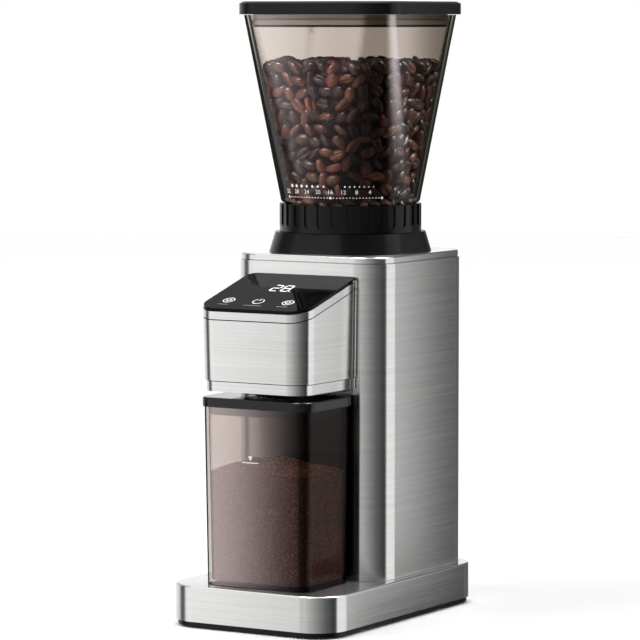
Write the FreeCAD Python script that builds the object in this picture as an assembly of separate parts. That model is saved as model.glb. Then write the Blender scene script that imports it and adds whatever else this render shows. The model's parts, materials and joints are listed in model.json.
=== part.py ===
import FreeCAD
import Part

import math
import os

# Burr coffee grinder with a square hopper, a geared conical burr set and a pull-out grounds container.
# Millimetres, +Z up, front towards -Y, origin on the floor under the middle of the base.

# Base
BASE_WIDTH = 120.0
BASE_DEPTH = 190.0
BASE_CORNER = 21.0
TRAY_HEIGHT = 22.3
TRAY_WALL = 1.5
EDGE_ROUND = 1.0
PLATE_THICKNESS = 2.8
PLATE_INSET = 1.2
FOOT_RADIUS = 9.0
FOOT_STANDOFF = 1.2
FOOT_RECESS = 2.0
FOOT_INSET = 19.0
BOSS_RADIUS = 4.0
BOSS_SETBACK = 48.0

# Column
COLUMN_WIDTH = 110.0
COLUMN_DEPTH = 115.0
COLUMN_CORNER = 19.0
COLUMN_HEIGHT = 197.4
COLUMN_WALL = 1.5
COLUMN_BACK_MARGIN = 6.0
CAP_HEIGHT = 4.3
CAP_INSET = 0.8
CAP_LIP = 4.0
SEAM = 0.6

# Head
HEAD_WIDTH = 79.0
HEAD_TAPER = 1.3
HEAD_REACH = 64.0
HEAD_CORNER = 12.5
HEAD_BACK_CORNER = 6.0
HEAD_WALL = 2.0
HEAD_GAP = 4.0
LOW_TRIM_HEIGHT = 6.1
LOW_TRIM_INSET = 1.0
TOP_TRIM_HEIGHT = 4.8
TRIM_LIP = 3.0
PANEL_THICKNESS = 2.0
PANEL_INSET = 0.5
PANEL_DROP = 11.8
PANEL_RISE = 18.0
BOARD_THICKNESS = 1.6
DISPLAY_WIDTH = 30.0
DISPLAY_DEPTH = 13.0
DISPLAY_HEIGHT = 7.0
PAD_DEPTH = 2.7
PAD_INSET = 19.0
PAD_BACK_INSET = 6.5
PAD_CORNER = 6.0
SPOUT_RADIUS = 11.0
SPOUT_WALL = 1.5
SPOUT_SETBACK = 38.0
CHUTE_WIDTH = 24.0
CHUTE_BEND = 12.0
CHUTE_WALL = 1.5

# Grounds container
BIN_WIDTH = 77.6
BIN_DEPTH = 57.5
BIN_CORNER = 9.5
BIN_TAPER = 1.85
BIN_WALL = 2.5
BIN_HEIGHT = 110.5
BIN_LID_HEIGHT = 5.9
BIN_LID_OVERHANG = 1.2
BIN_LID_SKIRT = 5.0
BIN_MOUTH_RADIUS = 16.0
BIN_FRONT_SETBACK = 3.7
GROUNDS_LEVEL = 70.0
GROUNDS_CROWN = 8.0

# Hopper, lid, collar and adjustment ring
COLLAR_HEIGHT = 12.7
COLLAR_FOOT_WIDTH = 92.0
COLLAR_TOP_WIDTH = 86.4
COLLAR_CORNER = 31.0
RING_RADIUS = 45.0
RING_HEIGHT = 17.3
RING_BORE = 34.0
RING_SKIRT_RADIUS = 38.0
RING_SKIRT_CLEARANCE = 3.0
RING_SOCKET_DEPTH = 8.0
FLUTE_COUNT = 30
FLUTE_WIDTH = 5.4
FLUTE_DEPTH = 1.0
FLUTE_RIM = 3.0
KEY_WIDTH = 7.4
KEY_HEIGHT = 5.0
KEY_COUNT = 3
HOPPER_FOOT_RADIUS = 44.4
HOPPER_WIDTH = 108.0
HOPPER_CORNER = 18.5
HOPPER_HEIGHT = 118.8
HOPPER_WALL = 2.5
HOPPER_NECK_RADIUS = 41.0
HOPPER_HEEL = 3.4
HEEL_ROUND = 3.2
FLAT_START = 0.1
LID_OVERHANG = 3.0
LID_HEIGHT = 8.1
LID_CROWN = 1.2
LID_SKIRT_DEPTH = 8.0
LID_SKIRT_WALL = 2.0
SEAL_HEIGHT = 3.0
BEAN_LEVEL = 91.0

# Burrs and grinding chamber
CHAMBER_BORE = 30.0
CHAMBER_WALL = 4.0
CHAMBER_DEPTH = 38.7
SEAL_THICKNESS = 2.0
CHAMBER_FLANGE = 10.0
CHAMBER_FLANGE_THICKNESS = 4.0
OUTLET_HEIGHT = 10.0
SWEEPER_HUB = 10.0
SWEEPER_HEIGHT = 8.0
SWEEPER_ARMS = 4
SWEEPER_ARM_WIDTH = 3.0
SWEEPER_START = 45.0
BURR_STACK = 9.5
INNER_BURR_FOOT = 17.0
INNER_BURR_TIP = 7.5
INNER_BURR_HEIGHT = 22.0
INNER_BURR_TEETH = 24
INNER_BURR_TWIST = 36.0
OUTER_BURR_RADIUS = 22.5
OUTER_BURR_HEIGHT = 14.0
OUTER_BURR_THROAT = 15.5
OUTER_BURR_TEETH = 30
OUTER_BURR_TWIST = -12.0
TOOTH_DEPTH = 1.0
TOOTH_LEAN = 0.3
GRIND_GAP = 0.8
RETAINER_THICKNESS = 2.0
CARRIER_TOP_MARGIN = 12.0
CARRIER_THROAT = 24.0
SLOT_DEPTH = 3.0

# Motor, gears and shaft
MOTOR_RADIUS = 26.0
MOTOR_LENGTH = 62.0
MOTOR_WALL = 1.5
MOTOR_STANDOFF = 10.0
MOTOR_CAP_THICKNESS = 4.0
MOTOR_SHAFT_RADIUS = 2.5
MAGNET_THICKNESS = 4.0
MAGNET_SPLIT = 17.0
WINDING_ROOM_LOW = 12.0
WINDING_ROOM_HIGH = 8.0
ARMATURE_GAP = 0.8
ARMATURE_SLOTS = 8
ARMATURE_SLOT_WIDTH = 4.8
MOTOR_SCREW_RADIUS = 15.6
MOTOR_BOSS_RADIUS = 7.5
MOTOR_BOSS_HEIGHT = 5.0
CHASSIS_THICKNESS = 5.0
LEG_RADIUS = 5.0
LEG_INSET = 13.0
GEAR_MODULE = 1.0
MOTOR_TEETH = 12
WHEEL_TEETH = 48
IDLER_TEETH = 15
OUTPUT_TEETH = 45
WHEEL_FACE = 7.0
OUTPUT_FACE = 12.0
STAGE_GAP = 5.0
IDLER_BOSS = 4.0
IDLER_PIN_RADIUS = 3.0
IDLER_ANGLE = 45.0
GEARBOX_WALL = 2.0
GEARBOX_ROOF = 3.0
GEARBOX_ROOM = 2.5
DRIVE_SHAFT_RADIUS = 4.0
BEARING_RADIUS = 11.0
BEARING_WIDTH = 7.0
SEAL_RADIUS = 8.0

# Fasteners, boards and the cord gland
SCREW_RADIUS = 1.5
SCREW_HEAD_RADIUS = 2.8
SCREW_HEAD_HEIGHT = 2.0
SCREW_LENGTH = 8.0
POWER_BOARD_WIDTH = 70.0
POWER_BOARD_DEPTH = 48.0
POWER_BOARD_STANDOFF = 5.0
POWER_BOARD_SETBACK = 34.5
TRANSFORMER_WIDTH = 23.0
TRANSFORMER_DEPTH = 20.0
TRANSFORMER_HEIGHT = 13.0
RELAY_WIDTH = 16.0
RELAY_DEPTH = 12.0
RELAY_HEIGHT = 10.0
CAPACITOR_RADIUS = 4.0
CAPACITOR_HEIGHT = 12.0
COMPONENT_GAP = 3.0
GLAND_RADIUS = 6.0
GLAND_FLANGE = 2.5
GLAND_HEIGHT = 16.0

# Clearances
CUT_MARGIN = 1.0
SHARPEST_CORNER = 0.5
STRAIGHTNESS = 1e-6
SLIDE_GAP = 0.3
SEAT_GAP = 0.1
RUNNING_GAP = 0.05
AXIAL_GAP = 0.4

# Tooth form
PRESSURE_ANGLE = math.radians(20.0)
ADDENDUM = 0.75
DEDENDUM = 1.1
TOOTH_THINNING = 0.2

# Heights that follow from the sizes above
PLATE_Z = FOOT_STANDOFF
TRAY_Z = PLATE_Z + PLATE_THICKNESS
DECK_Z = TRAY_Z + TRAY_HEIGHT
COLUMN_TOP = DECK_Z + COLUMN_HEIGHT
CAP_TOP = COLUMN_TOP + CAP_HEIGHT
BIN_Z = DECK_Z + SLIDE_GAP
BIN_RIM_Z = BIN_Z + BIN_HEIGHT
BIN_TOP = BIN_RIM_Z + BIN_LID_HEIGHT
HEAD_Z = BIN_TOP + HEAD_GAP
COLLAR_TOP = CAP_TOP + COLLAR_HEIGHT
RING_Z = COLLAR_TOP + SLIDE_GAP
RING_TOP = RING_Z + RING_HEIGHT
HOPPER_Z = RING_TOP + SLIDE_GAP
HOPPER_TOP = HOPPER_Z + HOPPER_HEIGHT
FLOOR_Z = COLUMN_TOP - CHAMBER_DEPTH
BURR_Z = FLOOR_Z + BURR_STACK
CAN_Z = DECK_Z + MOTOR_STANDOFF
CAN_TOP = CAN_Z + MOTOR_LENGTH
CHASSIS_Z = CAN_TOP + MOTOR_CAP_THICKNESS
CHASSIS_TOP = CHASSIS_Z + CHASSIS_THICKNESS
WHEEL_Z = CHASSIS_TOP + IDLER_BOSS + AXIAL_GAP
OUTPUT_Z = WHEEL_Z + WHEEL_FACE + STAGE_GAP
IDLER_TOP = OUTPUT_Z + OUTPUT_FACE + AXIAL_GAP
ROOF_Z = IDLER_TOP + AXIAL_GAP
ROOF_TOP = ROOF_Z + GEARBOX_ROOF

# Places in plan that follow from the sizes above
COLUMN_BACK = BASE_DEPTH / 2 - COLUMN_BACK_MARGIN
COLUMN_FRONT = COLUMN_BACK - COLUMN_DEPTH
AXIS_Y = (COLUMN_FRONT + COLUMN_BACK) / 2
HEAD_FRONT = COLUMN_FRONT - HEAD_REACH
SPOUT_Y = HEAD_FRONT + SPOUT_SETBACK
BIN_FRONT = HEAD_FRONT + BIN_FRONT_SETBACK
CENTRE_DISTANCE = GEAR_MODULE * (OUTPUT_TEETH + IDLER_TEETH) / 2
IDLER_X = CENTRE_DISTANCE * math.cos(math.radians(IDLER_ANGLE))
IDLER_Y = AXIS_Y + CENTRE_DISTANCE * math.sin(math.radians(IDLER_ANGLE))
WHEEL_MODULE = 2 * CENTRE_DISTANCE / (MOTOR_TEETH + WHEEL_TEETH)


class Outline:
    """A rounded rectangle in plan: its half width, its front and back, and its corners, front and back."""

    def __init__(self, half_width, front, back, corner, back_corner=None):
        self.half_width = half_width
        self.front = front
        self.back = back
        self.corner = corner
        self.back_corner = corner if back_corner is None else back_corner

    def inset(self, by):
        corners = [max(corner - by, SHARPEST_CORNER) for corner in (self.corner, self.back_corner)]
        return Outline(self.half_width - by, self.front + by, self.back - by, *corners)

    def wire(self, z):
        w, f, b, r, s = self.half_width, self.front, self.back, self.corner, self.back_corner
        corners = [(w - r, f + r, r, -90), (w - s, b - s, s, 0),
                   (-w + s, b - s, s, 90), (-w + r, f + r, r, 180)]
        arcs = [[around(x, y, radius, start + turn, z) for turn in (0, 45, 90)]
                for x, y, radius, start in corners]
        edges = []
        for arc, following in zip(arcs, arcs[1:] + arcs[:1]):
            edges.append(Part.Arc(*arc).toShape())
            edges.append(Part.makeLine(arc[2], following[0]))
        return Part.Wire(edges)

    def prism(self, low, high):
        return Part.Face(self.wire(low)).extrude(FreeCAD.Vector(0, 0, high - low))


def around(cx, cy, radius, degrees, z=0.0):
    angle = math.radians(degrees)
    return FreeCAD.Vector(cx + radius * math.cos(angle), cy + radius * math.sin(angle), z)


def square(width, corner, middle=AXIS_Y):
    half = width / 2
    return Outline(half, middle - half, middle + half, corner)


def is_straight(edge):
    ends = [vertex.Point for vertex in edge.Vertexes]
    return abs(edge.Length - ends[0].distanceToPoint(ends[-1])) < STRAIGHTNESS


def loft(low, low_z, high, high_z):
    """Join two outlines by ruled faces, with a true plane between each two straight sides."""
    form = Part.makeLoft([low.wire(low_z), high.wire(high_z)], True, True)
    faces = []
    for face in form.Faces:
        corners = [vertex.Point for vertex in face.OuterWire.OrderedVertexes]
        flat = all(is_straight(edge) for edge in face.Edges)
        faces.append(Part.Face(Part.makePolygon(corners + corners[:1])) if flat else face)
    shell = Part.Shell(faces)
    shell.sewShape()
    return Part.Solid(shell)


def disc(radius, low, high, x=0.0, y=AXIS_Y):
    return Part.makeCylinder(radius, high - low, FreeCAD.Vector(x, y, low))


def tube(outer, inner, low, high, x=0.0, y=AXIS_Y):
    return disc(outer, low, high, x, y).cut(disc(inner, low, high, x, y))


def block(x0, x1, y0, y1, z0, z1):
    return Part.makeBox(x1 - x0, y1 - y0, z1 - z0, FreeCAD.Vector(x0, y0, z0))


def revolve(points, x=0.0, y=AXIS_Y):
    """Turn a closed profile of (radius, height) points about the upright line through x, y."""
    corners = [FreeCAD.Vector(x + radius, y, z) for radius, z in points]
    face = Part.Face(Part.makePolygon(corners + corners[:1]))
    return face.revolve(FreeCAD.Vector(x, y, 0), FreeCAD.Vector(0, 0, 1), 360)


def fuse(shapes):
    return shapes[0].fuse(shapes[1:]).removeSplitter() if len(shapes) > 1 else shapes[0]


def turned(shape, degrees, x=0.0, y=AXIS_Y):
    copy = shape.copy()
    copy.rotate(FreeCAD.Vector(x, y, 0), FreeCAD.Vector(0, 0, 1), degrees)
    return copy


def round_rim(shape, z, radius):
    """Round every edge that lies at height z."""
    rim = [e for e in shape.Edges if abs(e.BoundBox.ZMin - z) < 1e-6 and abs(e.BoundBox.ZMax - z) < 1e-6]
    return shape.makeFillet(radius, rim)


def cap_screw(x, y, seat, length=SCREW_LENGTH):
    """A pan-head screw whose head stands on the seat and whose shank goes down."""
    head = disc(SCREW_HEAD_RADIUS, seat, seat + SCREW_HEAD_HEIGHT, x, y)
    return head.fuse(disc(SCREW_RADIUS, seat - length, seat, x, y)).removeSplitter()


def ring_of(count, radius, start=0.0, y=AXIS_Y):
    step = 360.0 / count
    points = [around(0.0, y, radius, start + step * k) for k in range(count)]
    return [(p.x, p.y) for p in points]


BASE = Outline(BASE_WIDTH / 2, -BASE_DEPTH / 2, BASE_DEPTH / 2, BASE_CORNER)
COLUMN = Outline(COLUMN_WIDTH / 2, COLUMN_FRONT, COLUMN_BACK, COLUMN_CORNER)
COLUMN_INSIDE = COLUMN.inset(COLUMN_WALL)
HEAD_BACK = COLUMN_FRONT - SEAT_GAP
HEAD_TOP = Outline(HEAD_WIDTH / 2, HEAD_FRONT, HEAD_BACK, HEAD_CORNER, HEAD_BACK_CORNER)
HEAD_FOOT = Outline(HEAD_WIDTH / 2 - HEAD_TAPER, HEAD_FRONT + HEAD_TAPER, HEAD_BACK,
                    HEAD_CORNER, HEAD_BACK_CORNER)
HEAD_CEILING = CAP_TOP


def corners_of(outline, inset, setback=None):
    """Four mirrored places inside an outline, the front and back ones at their own setback."""
    x = outline.half_width - inset
    along = inset if setback is None else setback
    return [(sx * x, y) for sx in (-1, 1) for y in (outline.front + along, outline.back - along)]


FOOT_PLACES = corners_of(BASE, FOOT_INSET)
BOSS_PLACES = corners_of(BASE, TRAY_WALL + BOSS_RADIUS + 2 * SLIDE_GAP, BOSS_SETBACK)
POWER_BOARD_Y = -BASE_DEPTH / 2 + POWER_BOARD_SETBACK


def rubber_feet():
    top = FOOT_STANDOFF + FOOT_RECESS
    return Part.makeCompound([disc(FOOT_RADIUS, 0.0, top, x, y) for x, y in FOOT_PLACES])


def board_posts():
    x = POWER_BOARD_WIDTH / 2 - BOSS_RADIUS
    y = POWER_BOARD_DEPTH / 2 - BOSS_RADIUS
    return [(sx * x, POWER_BOARD_Y + sy * y) for sx in (-1, 1) for sy in (-1, 1)]


def base_plate():
    plate = BASE.inset(PLATE_INSET).prism(PLATE_Z, TRAY_Z)
    recess = [disc(FOOT_RADIUS + SEAT_GAP, PLATE_Z, PLATE_Z + FOOT_RECESS, x, y) for x, y in FOOT_PLACES]
    holes = [disc(SCREW_RADIUS + SEAT_GAP, PLATE_Z, TRAY_Z, x, y) for x, y in BOSS_PLACES]
    sinks = [disc(SCREW_HEAD_RADIUS + SEAT_GAP, PLATE_Z, PLATE_Z + SCREW_HEAD_HEIGHT, x, y)
             for x, y in BOSS_PLACES]
    posts = [disc(BOSS_RADIUS, TRAY_Z, TRAY_Z + POWER_BOARD_STANDOFF, x, y) for x, y in board_posts()]
    return fuse([plate.cut(recess + holes + sinks)] + posts)


def base_plate_screws():
    """Heads sunk in the plate, shanks up into the tray's bosses."""
    screws = []
    seat = PLATE_Z + SCREW_HEAD_HEIGHT
    for x, y in BOSS_PLACES:
        head = disc(SCREW_HEAD_RADIUS, PLATE_Z, seat, x, y)
        screws.append(head.fuse(disc(SCREW_RADIUS, seat, seat + SCREW_LENGTH, x, y)).removeSplitter())
    return Part.makeCompound(screws)


def base_tray():
    shell = round_rim(BASE.prism(TRAY_Z, DECK_Z), DECK_Z, EDGE_ROUND)
    shell = shell.cut(BASE.inset(TRAY_WALL).prism(TRAY_Z, DECK_Z - TRAY_WALL))
    bosses = [disc(BOSS_RADIUS, TRAY_Z, DECK_Z - TRAY_WALL, x, y) for x, y in BOSS_PLACES]
    holes = [disc(SCREW_RADIUS + SEAT_GAP, TRAY_Z, TRAY_Z + SCREW_LENGTH, x, y) for x, y in BOSS_PLACES]
    return fuse([shell] + bosses).cut(holes)


def column_shell():
    shell = COLUMN.prism(DECK_Z, COLUMN_TOP).cut(COLUMN_INSIDE.prism(DECK_Z, COLUMN_TOP))
    window = chute_window(COLUMN_FRONT, COLUMN_FRONT + COLUMN_WALL)
    gland_start = FreeCAD.Vector(0, COLUMN_BACK - COLUMN_WALL - CUT_MARGIN, DECK_Z + GLAND_HEIGHT)
    gland = Part.makeCylinder(GLAND_RADIUS + SEAT_GAP, COLUMN_WALL + 2 * CUT_MARGIN, gland_start,
                              FreeCAD.Vector(0, 1, 0))
    return shell.cut([window, gland])


def column_cap():
    """Steel cap with a groove above the column's rim and a lip that drops inside it."""
    cap = round_rim(COLUMN.inset(CAP_INSET).prism(COLUMN_TOP + SEAM, CAP_TOP), CAP_TOP, EDGE_ROUND)
    neck = COLUMN.inset((CAP_INSET + COLUMN_WALL) / 2).prism(COLUMN_TOP, COLUMN_TOP + SEAM)
    lip = COLUMN_INSIDE.inset(SEAT_GAP).prism(COLUMN_TOP - CAP_LIP, COLUMN_TOP)
    lip = lip.cut(COLUMN_INSIDE.inset(SEAT_GAP + COLUMN_WALL).prism(COLUMN_TOP - CAP_LIP, COLUMN_TOP))
    hole = disc(CHAMBER_BORE + CHAMBER_WALL, COLUMN_TOP, CAP_TOP)
    holes = [disc(SCREW_RADIUS + SEAT_GAP, COLUMN_TOP, CAP_TOP, x, y) for x, y in CHAMBER_SCREW_PLACES]
    sinks = [disc(SCREW_HEAD_RADIUS + SEAT_GAP, CAP_TOP - SCREW_HEAD_HEIGHT, CAP_TOP, x, y)
             for x, y in CHAMBER_SCREW_PLACES]
    return fuse([cap, neck, lip]).cut([hole] + holes + sinks)


def cord_gland():
    """Bush in the column's back wall, flanged inside and out."""
    z = DECK_Z + GLAND_HEIGHT
    back = FreeCAD.Vector(0, 1, 0)
    outer = Part.makeCylinder(GLAND_RADIUS + GLAND_FLANGE, GLAND_FLANGE,
                              FreeCAD.Vector(0, COLUMN_BACK, z), back)
    barrel_start = COLUMN_BACK - COLUMN_WALL - GLAND_FLANGE
    barrel = Part.makeCylinder(GLAND_RADIUS, COLUMN_BACK - barrel_start,
                               FreeCAD.Vector(0, barrel_start, z), back)
    bore = Part.makeCylinder(GLAND_RADIUS / 2, 2 * GLAND_FLANGE + COLUMN_WALL,
                             FreeCAD.Vector(0, barrel_start, z), back)
    return outer.fuse(barrel).removeSplitter().cut(bore)


def head_form(inset=0.0):
    """The head's tapered outside, which backs on the column and is left tall for the sloping top."""
    return loft(HEAD_FOOT.inset(inset), HEAD_Z, HEAD_TOP.inset(inset), HEAD_CEILING)


def above_slope(drop):
    """Everything above the sloping top, lowered by a drop measured upright."""
    back = CAP_TOP - PANEL_DROP - drop
    front = back - PANEL_RISE
    reach = COLUMN_DEPTH
    rise = PANEL_RISE / HEAD_REACH * reach
    points = [(HEAD_FRONT - reach, front - rise), (COLUMN_FRONT + reach, back + rise),
              (COLUMN_FRONT + reach, back + 4 * reach), (HEAD_FRONT - reach, back + 4 * reach)]
    corners = [FreeCAD.Vector(-COLUMN_WIDTH, y, z) for y, z in points]
    face = Part.Face(Part.makePolygon(corners + corners[:1]))
    return face.extrude(FreeCAD.Vector(2 * COLUMN_WIDTH, 0, 0))


def sloped_layer(inset, upper, lower):
    """The slice of the head between two drops below its sloping top."""
    return head_form(inset).cut(above_slope(upper)).common(above_slope(lower))


def above(z):
    return block(-COLUMN_WIDTH, COLUMN_WIDTH, -BASE_DEPTH, BASE_DEPTH, z, CAP_TOP + COLUMN_HEIGHT)


TRIM_DROP = PANEL_THICKNESS + TOP_TRIM_HEIGHT
SHELL_DROP = TRIM_DROP + SEAM
SHELL_Z = HEAD_Z + LOW_TRIM_HEIGHT + SEAM


def head_shell():
    shell = head_form().cut([head_form(HEAD_WALL), chute_window(HEAD_BACK - HEAD_WALL, HEAD_BACK)])
    return shell.cut(above_slope(SHELL_DROP)).common(above(SHELL_Z))


def head_top_trim():
    rim = sloped_layer(0.0, PANEL_THICKNESS, TRIM_DROP)
    lip = sloped_layer(HEAD_WALL + SEAT_GAP, PANEL_THICKNESS, TRIM_DROP + TRIM_LIP)
    window = chute_window(HEAD_BACK - 2 * HEAD_WALL, HEAD_BACK)
    return fuse([rim, lip]).cut([head_form(2 * HEAD_WALL), window])


def head_bottom_trim():
    rim = head_form(LOW_TRIM_INSET).cut(head_form(LOW_TRIM_INSET + HEAD_WALL)).cut(above(SHELL_Z - SEAM))
    lip = head_form(HEAD_WALL + SEAT_GAP).cut(head_form(2 * HEAD_WALL)).cut(above(SHELL_Z + TRIM_LIP))
    return fuse([rim, lip]).cut(chute_window(HEAD_BACK - 2 * HEAD_WALL, HEAD_BACK))


def head_underside():
    """Dark closing plate inside the lower trim, with a lowered pad round the spout."""
    plate = head_form(2 * HEAD_WALL + SEAT_GAP).cut(above(HEAD_Z + HEAD_WALL))
    pad_half = HEAD_FOOT.half_width - PAD_INSET
    pad_outline = Outline(pad_half, HEAD_FOOT.front + PAD_INSET, HEAD_BACK - PAD_BACK_INSET, PAD_CORNER)
    pad = pad_outline.prism(HEAD_Z - PAD_DEPTH, HEAD_Z)
    hole = disc(SPOUT_RADIUS + SEAT_GAP, HEAD_Z - PAD_DEPTH, HEAD_Z + HEAD_WALL, 0.0, SPOUT_Y)
    return fuse([plate, pad]).cut(hole)


def control_panel():
    return sloped_layer(PANEL_INSET, 0.0, PANEL_THICKNESS)


def display_window(clearance=0.0):
    half = DISPLAY_WIDTH / 2 + clearance
    middle = (HEAD_FRONT + COLUMN_FRONT) / 2 + DISPLAY_DEPTH / 2
    deep = DISPLAY_DEPTH / 2 + clearance
    return block(-half, half, middle - deep, middle + deep, HEAD_Z, HEAD_CEILING)


def touch_board():
    inset = 2 * HEAD_WALL + 2 * SLIDE_GAP
    board = sloped_layer(inset, PANEL_THICKNESS, PANEL_THICKNESS + BOARD_THICKNESS)
    return board.cut(display_window(SLIDE_GAP))


def display_module():
    return sloped_layer(HEAD_WALL, PANEL_THICKNESS, PANEL_THICKNESS + DISPLAY_HEIGHT).common(display_window())


def spout():
    flange_z = HEAD_Z + HEAD_WALL
    half = CHUTE_WIDTH / 2 + CHUTE_WALL
    flange = block(-half, half, SPOUT_Y - half, SPOUT_Y + half, flange_z, flange_z + SPOUT_WALL)
    pipe = disc(SPOUT_RADIUS, HEAD_Z - PAD_DEPTH, flange_z, 0.0, SPOUT_Y)
    bore = disc(SPOUT_RADIUS - SPOUT_WALL, HEAD_Z - PAD_DEPTH, flange_z + SPOUT_WALL, 0.0, SPOUT_Y)
    return fuse([flange, pipe]).cut(bore)


CHUTE_Z = HEAD_Z + HEAD_WALL + SPOUT_WALL
CHUTE_START = AXIS_Y - CHAMBER_BORE - CHAMBER_WALL
CHUTE_NEAR = SPOUT_Y + CHUTE_WIDTH / 2
CHUTE_FAR = SPOUT_Y - CHUTE_WIDTH / 2


def chute_heights(y):
    """Lowest and highest inside height of the sloping chute at a place along it."""
    bend_z = CHUTE_Z + CHUTE_BEND
    floor = bend_z + (FLOOR_Z - bend_z) * (y - CHUTE_NEAR) / (CHUTE_START - CHUTE_NEAR)
    roof = bend_z + (FLOOR_Z + OUTLET_HEIGHT - bend_z) * (y - CHUTE_FAR) / (CHUTE_START - CHUTE_FAR)
    return floor, roof


def chute_window(front, back):
    """The opening that the chute needs in an upright wall between two places."""
    half = CHUTE_WIDTH / 2 + CHUTE_WALL + AXIAL_GAP
    margin = CHUTE_WALL + 2 * AXIAL_GAP
    low = chute_heights(front - CUT_MARGIN)[0] - margin
    high = chute_heights(back + CUT_MARGIN)[1] + margin
    return block(-half, half, front - CUT_MARGIN, back + CUT_MARGIN, low, high)


def chute_solid(half, grow):
    """The chute's run from the chamber to the spout, grown by a wall on every side that is closed."""
    start = CHUTE_START + CHAMBER_WALL
    far = CHUTE_FAR - grow
    near = CHUTE_NEAR + grow
    points = [(start, chute_heights(start)[0] - grow), (near, chute_heights(near)[0] - grow),
              (near, CHUTE_Z), (far, CHUTE_Z),
              (far, chute_heights(CHUTE_FAR)[1] + grow), (start, chute_heights(start)[1] + grow)]
    corners = [FreeCAD.Vector(-half - grow, y, z) for y, z in points]
    face = Part.Face(Part.makePolygon(corners + corners[:1]))
    return face.extrude(FreeCAD.Vector(2 * (half + grow), 0, 0))


def chute():
    half = CHUTE_WIDTH / 2
    chamber = disc(CHAMBER_BORE + CHAMBER_WALL + SEAT_GAP, DECK_Z, CAP_TOP)
    return chute_solid(half, CHUTE_WALL).cut([chute_solid(half, 0.0), chamber])


def power_board():
    """Board on the plate's posts with a transformer, a relay and two capacitors."""
    low = TRAY_Z + POWER_BOARD_STANDOFF
    top = low + BOARD_THICKNESS
    half_x, half_y = POWER_BOARD_WIDTH / 2, POWER_BOARD_DEPTH / 2
    front, back = POWER_BOARD_Y - half_y, POWER_BOARD_Y + half_y
    board = block(-half_x, half_x, front, back, low, top)
    edge = -half_x + COMPONENT_GAP
    transformer = block(edge, edge + TRANSFORMER_WIDTH, POWER_BOARD_Y - TRANSFORMER_DEPTH / 2,
                        POWER_BOARD_Y + TRANSFORMER_DEPTH / 2, top, top + TRANSFORMER_HEIGHT)
    edge += TRANSFORMER_WIDTH + COMPONENT_GAP
    relay = block(edge, edge + RELAY_WIDTH, POWER_BOARD_Y - RELAY_DEPTH / 2, POWER_BOARD_Y + RELAY_DEPTH / 2,
                  top, top + RELAY_HEIGHT)
    x = edge + RELAY_WIDTH + COMPONENT_GAP + CAPACITOR_RADIUS
    spread = CAPACITOR_RADIUS + COMPONENT_GAP / 2
    cans = [disc(CAPACITOR_RADIUS, top, top + CAPACITOR_HEIGHT, x, POWER_BOARD_Y + side * spread)
            for side in (-1, 1)]
    return fuse([board, transformer, relay] + cans)


BIN_RIM = Outline(BIN_WIDTH / 2, BIN_FRONT, BIN_FRONT + BIN_DEPTH, BIN_CORNER)


def bin_section(z, inset):
    """The container's outside at a height, moved in by an inset."""
    share = (BIN_RIM_Z - z) / BIN_HEIGHT
    return BIN_RIM.inset(BIN_TAPER * share + inset)


def bin_loft(low, high, inset):
    return loft(bin_section(low, inset), low, bin_section(high, inset), high)


def grounds_container():
    return bin_loft(BIN_Z, BIN_RIM_Z, 0.0).cut(bin_loft(BIN_Z + BIN_WALL, BIN_RIM_Z, BIN_WALL))


def container_lid():
    cover = round_rim(BIN_RIM.inset(-BIN_LID_OVERHANG).prism(BIN_RIM_Z, BIN_TOP), BIN_TOP, EDGE_ROUND)
    skirt_z = BIN_RIM_Z - BIN_LID_SKIRT
    skirt = bin_section(skirt_z, BIN_WALL + SLIDE_GAP)
    skirt_wall = skirt.prism(skirt_z, BIN_RIM_Z).cut(skirt.inset(BIN_WALL).prism(skirt_z, BIN_RIM_Z))
    hollow = skirt.inset(BIN_WALL).prism(BIN_RIM_Z, BIN_TOP - BIN_WALL)
    mouth = disc(BIN_MOUTH_RADIUS, BIN_RIM_Z, BIN_TOP, 0.0, SPOUT_Y)
    return fuse([cover.cut([hollow, mouth]), skirt_wall])


def ground_coffee():
    low = BIN_Z + BIN_WALL + SLIDE_GAP
    level = BIN_Z + GROUNDS_LEVEL
    inset = BIN_WALL + SLIDE_GAP
    heap = bin_section(level, inset)
    crown = loft(heap, level, heap.inset(2 * GROUNDS_CROWN), level + GROUNDS_CROWN)
    return fuse([bin_loft(low, level, inset), crown])


HEEL_Z = HOPPER_Z + HOPPER_HEEL
NECK_Z = RING_TOP - RING_SOCKET_DEPTH + SLIDE_GAP
LID_Z = HOPPER_TOP + SLIDE_GAP
LID_TOP = LID_Z + LID_HEIGHT
SKIRT_Z = LID_Z - LID_SKIRT_DEPTH


def hopper_section(z, inset):
    """The hopper's outside at a height: a circle at the heel that grows into a rounded square."""
    share = (z - HEEL_Z) / (HOPPER_TOP - HEEL_Z)
    width = 2 * HOPPER_FOOT_RADIUS + share * (HOPPER_WIDTH - 2 * HOPPER_FOOT_RADIUS)
    foot_corner = HOPPER_FOOT_RADIUS - FLAT_START
    return square(width, foot_corner + share * (HOPPER_CORNER - foot_corner)).inset(inset)


def hopper_loft(low, high, inset):
    return loft(hopper_section(low, inset), low, hopper_section(high, inset), high)


def hopper():
    heel = round_rim(disc(HOPPER_FOOT_RADIUS, HOPPER_Z, HEEL_Z), HOPPER_Z, HEEL_ROUND)
    neck = disc(HOPPER_NECK_RADIUS, NECK_Z, HEEL_Z)
    throat = disc(HOPPER_NECK_RADIUS - HOPPER_WALL, NECK_Z, HEEL_Z)
    funnel = hopper_loft(HEEL_Z, HOPPER_TOP, 0.0).cut(hopper_loft(HEEL_Z, HOPPER_TOP, HOPPER_WALL))
    return fuse([funnel, heel.fuse(neck).cut(throat)])


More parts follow.
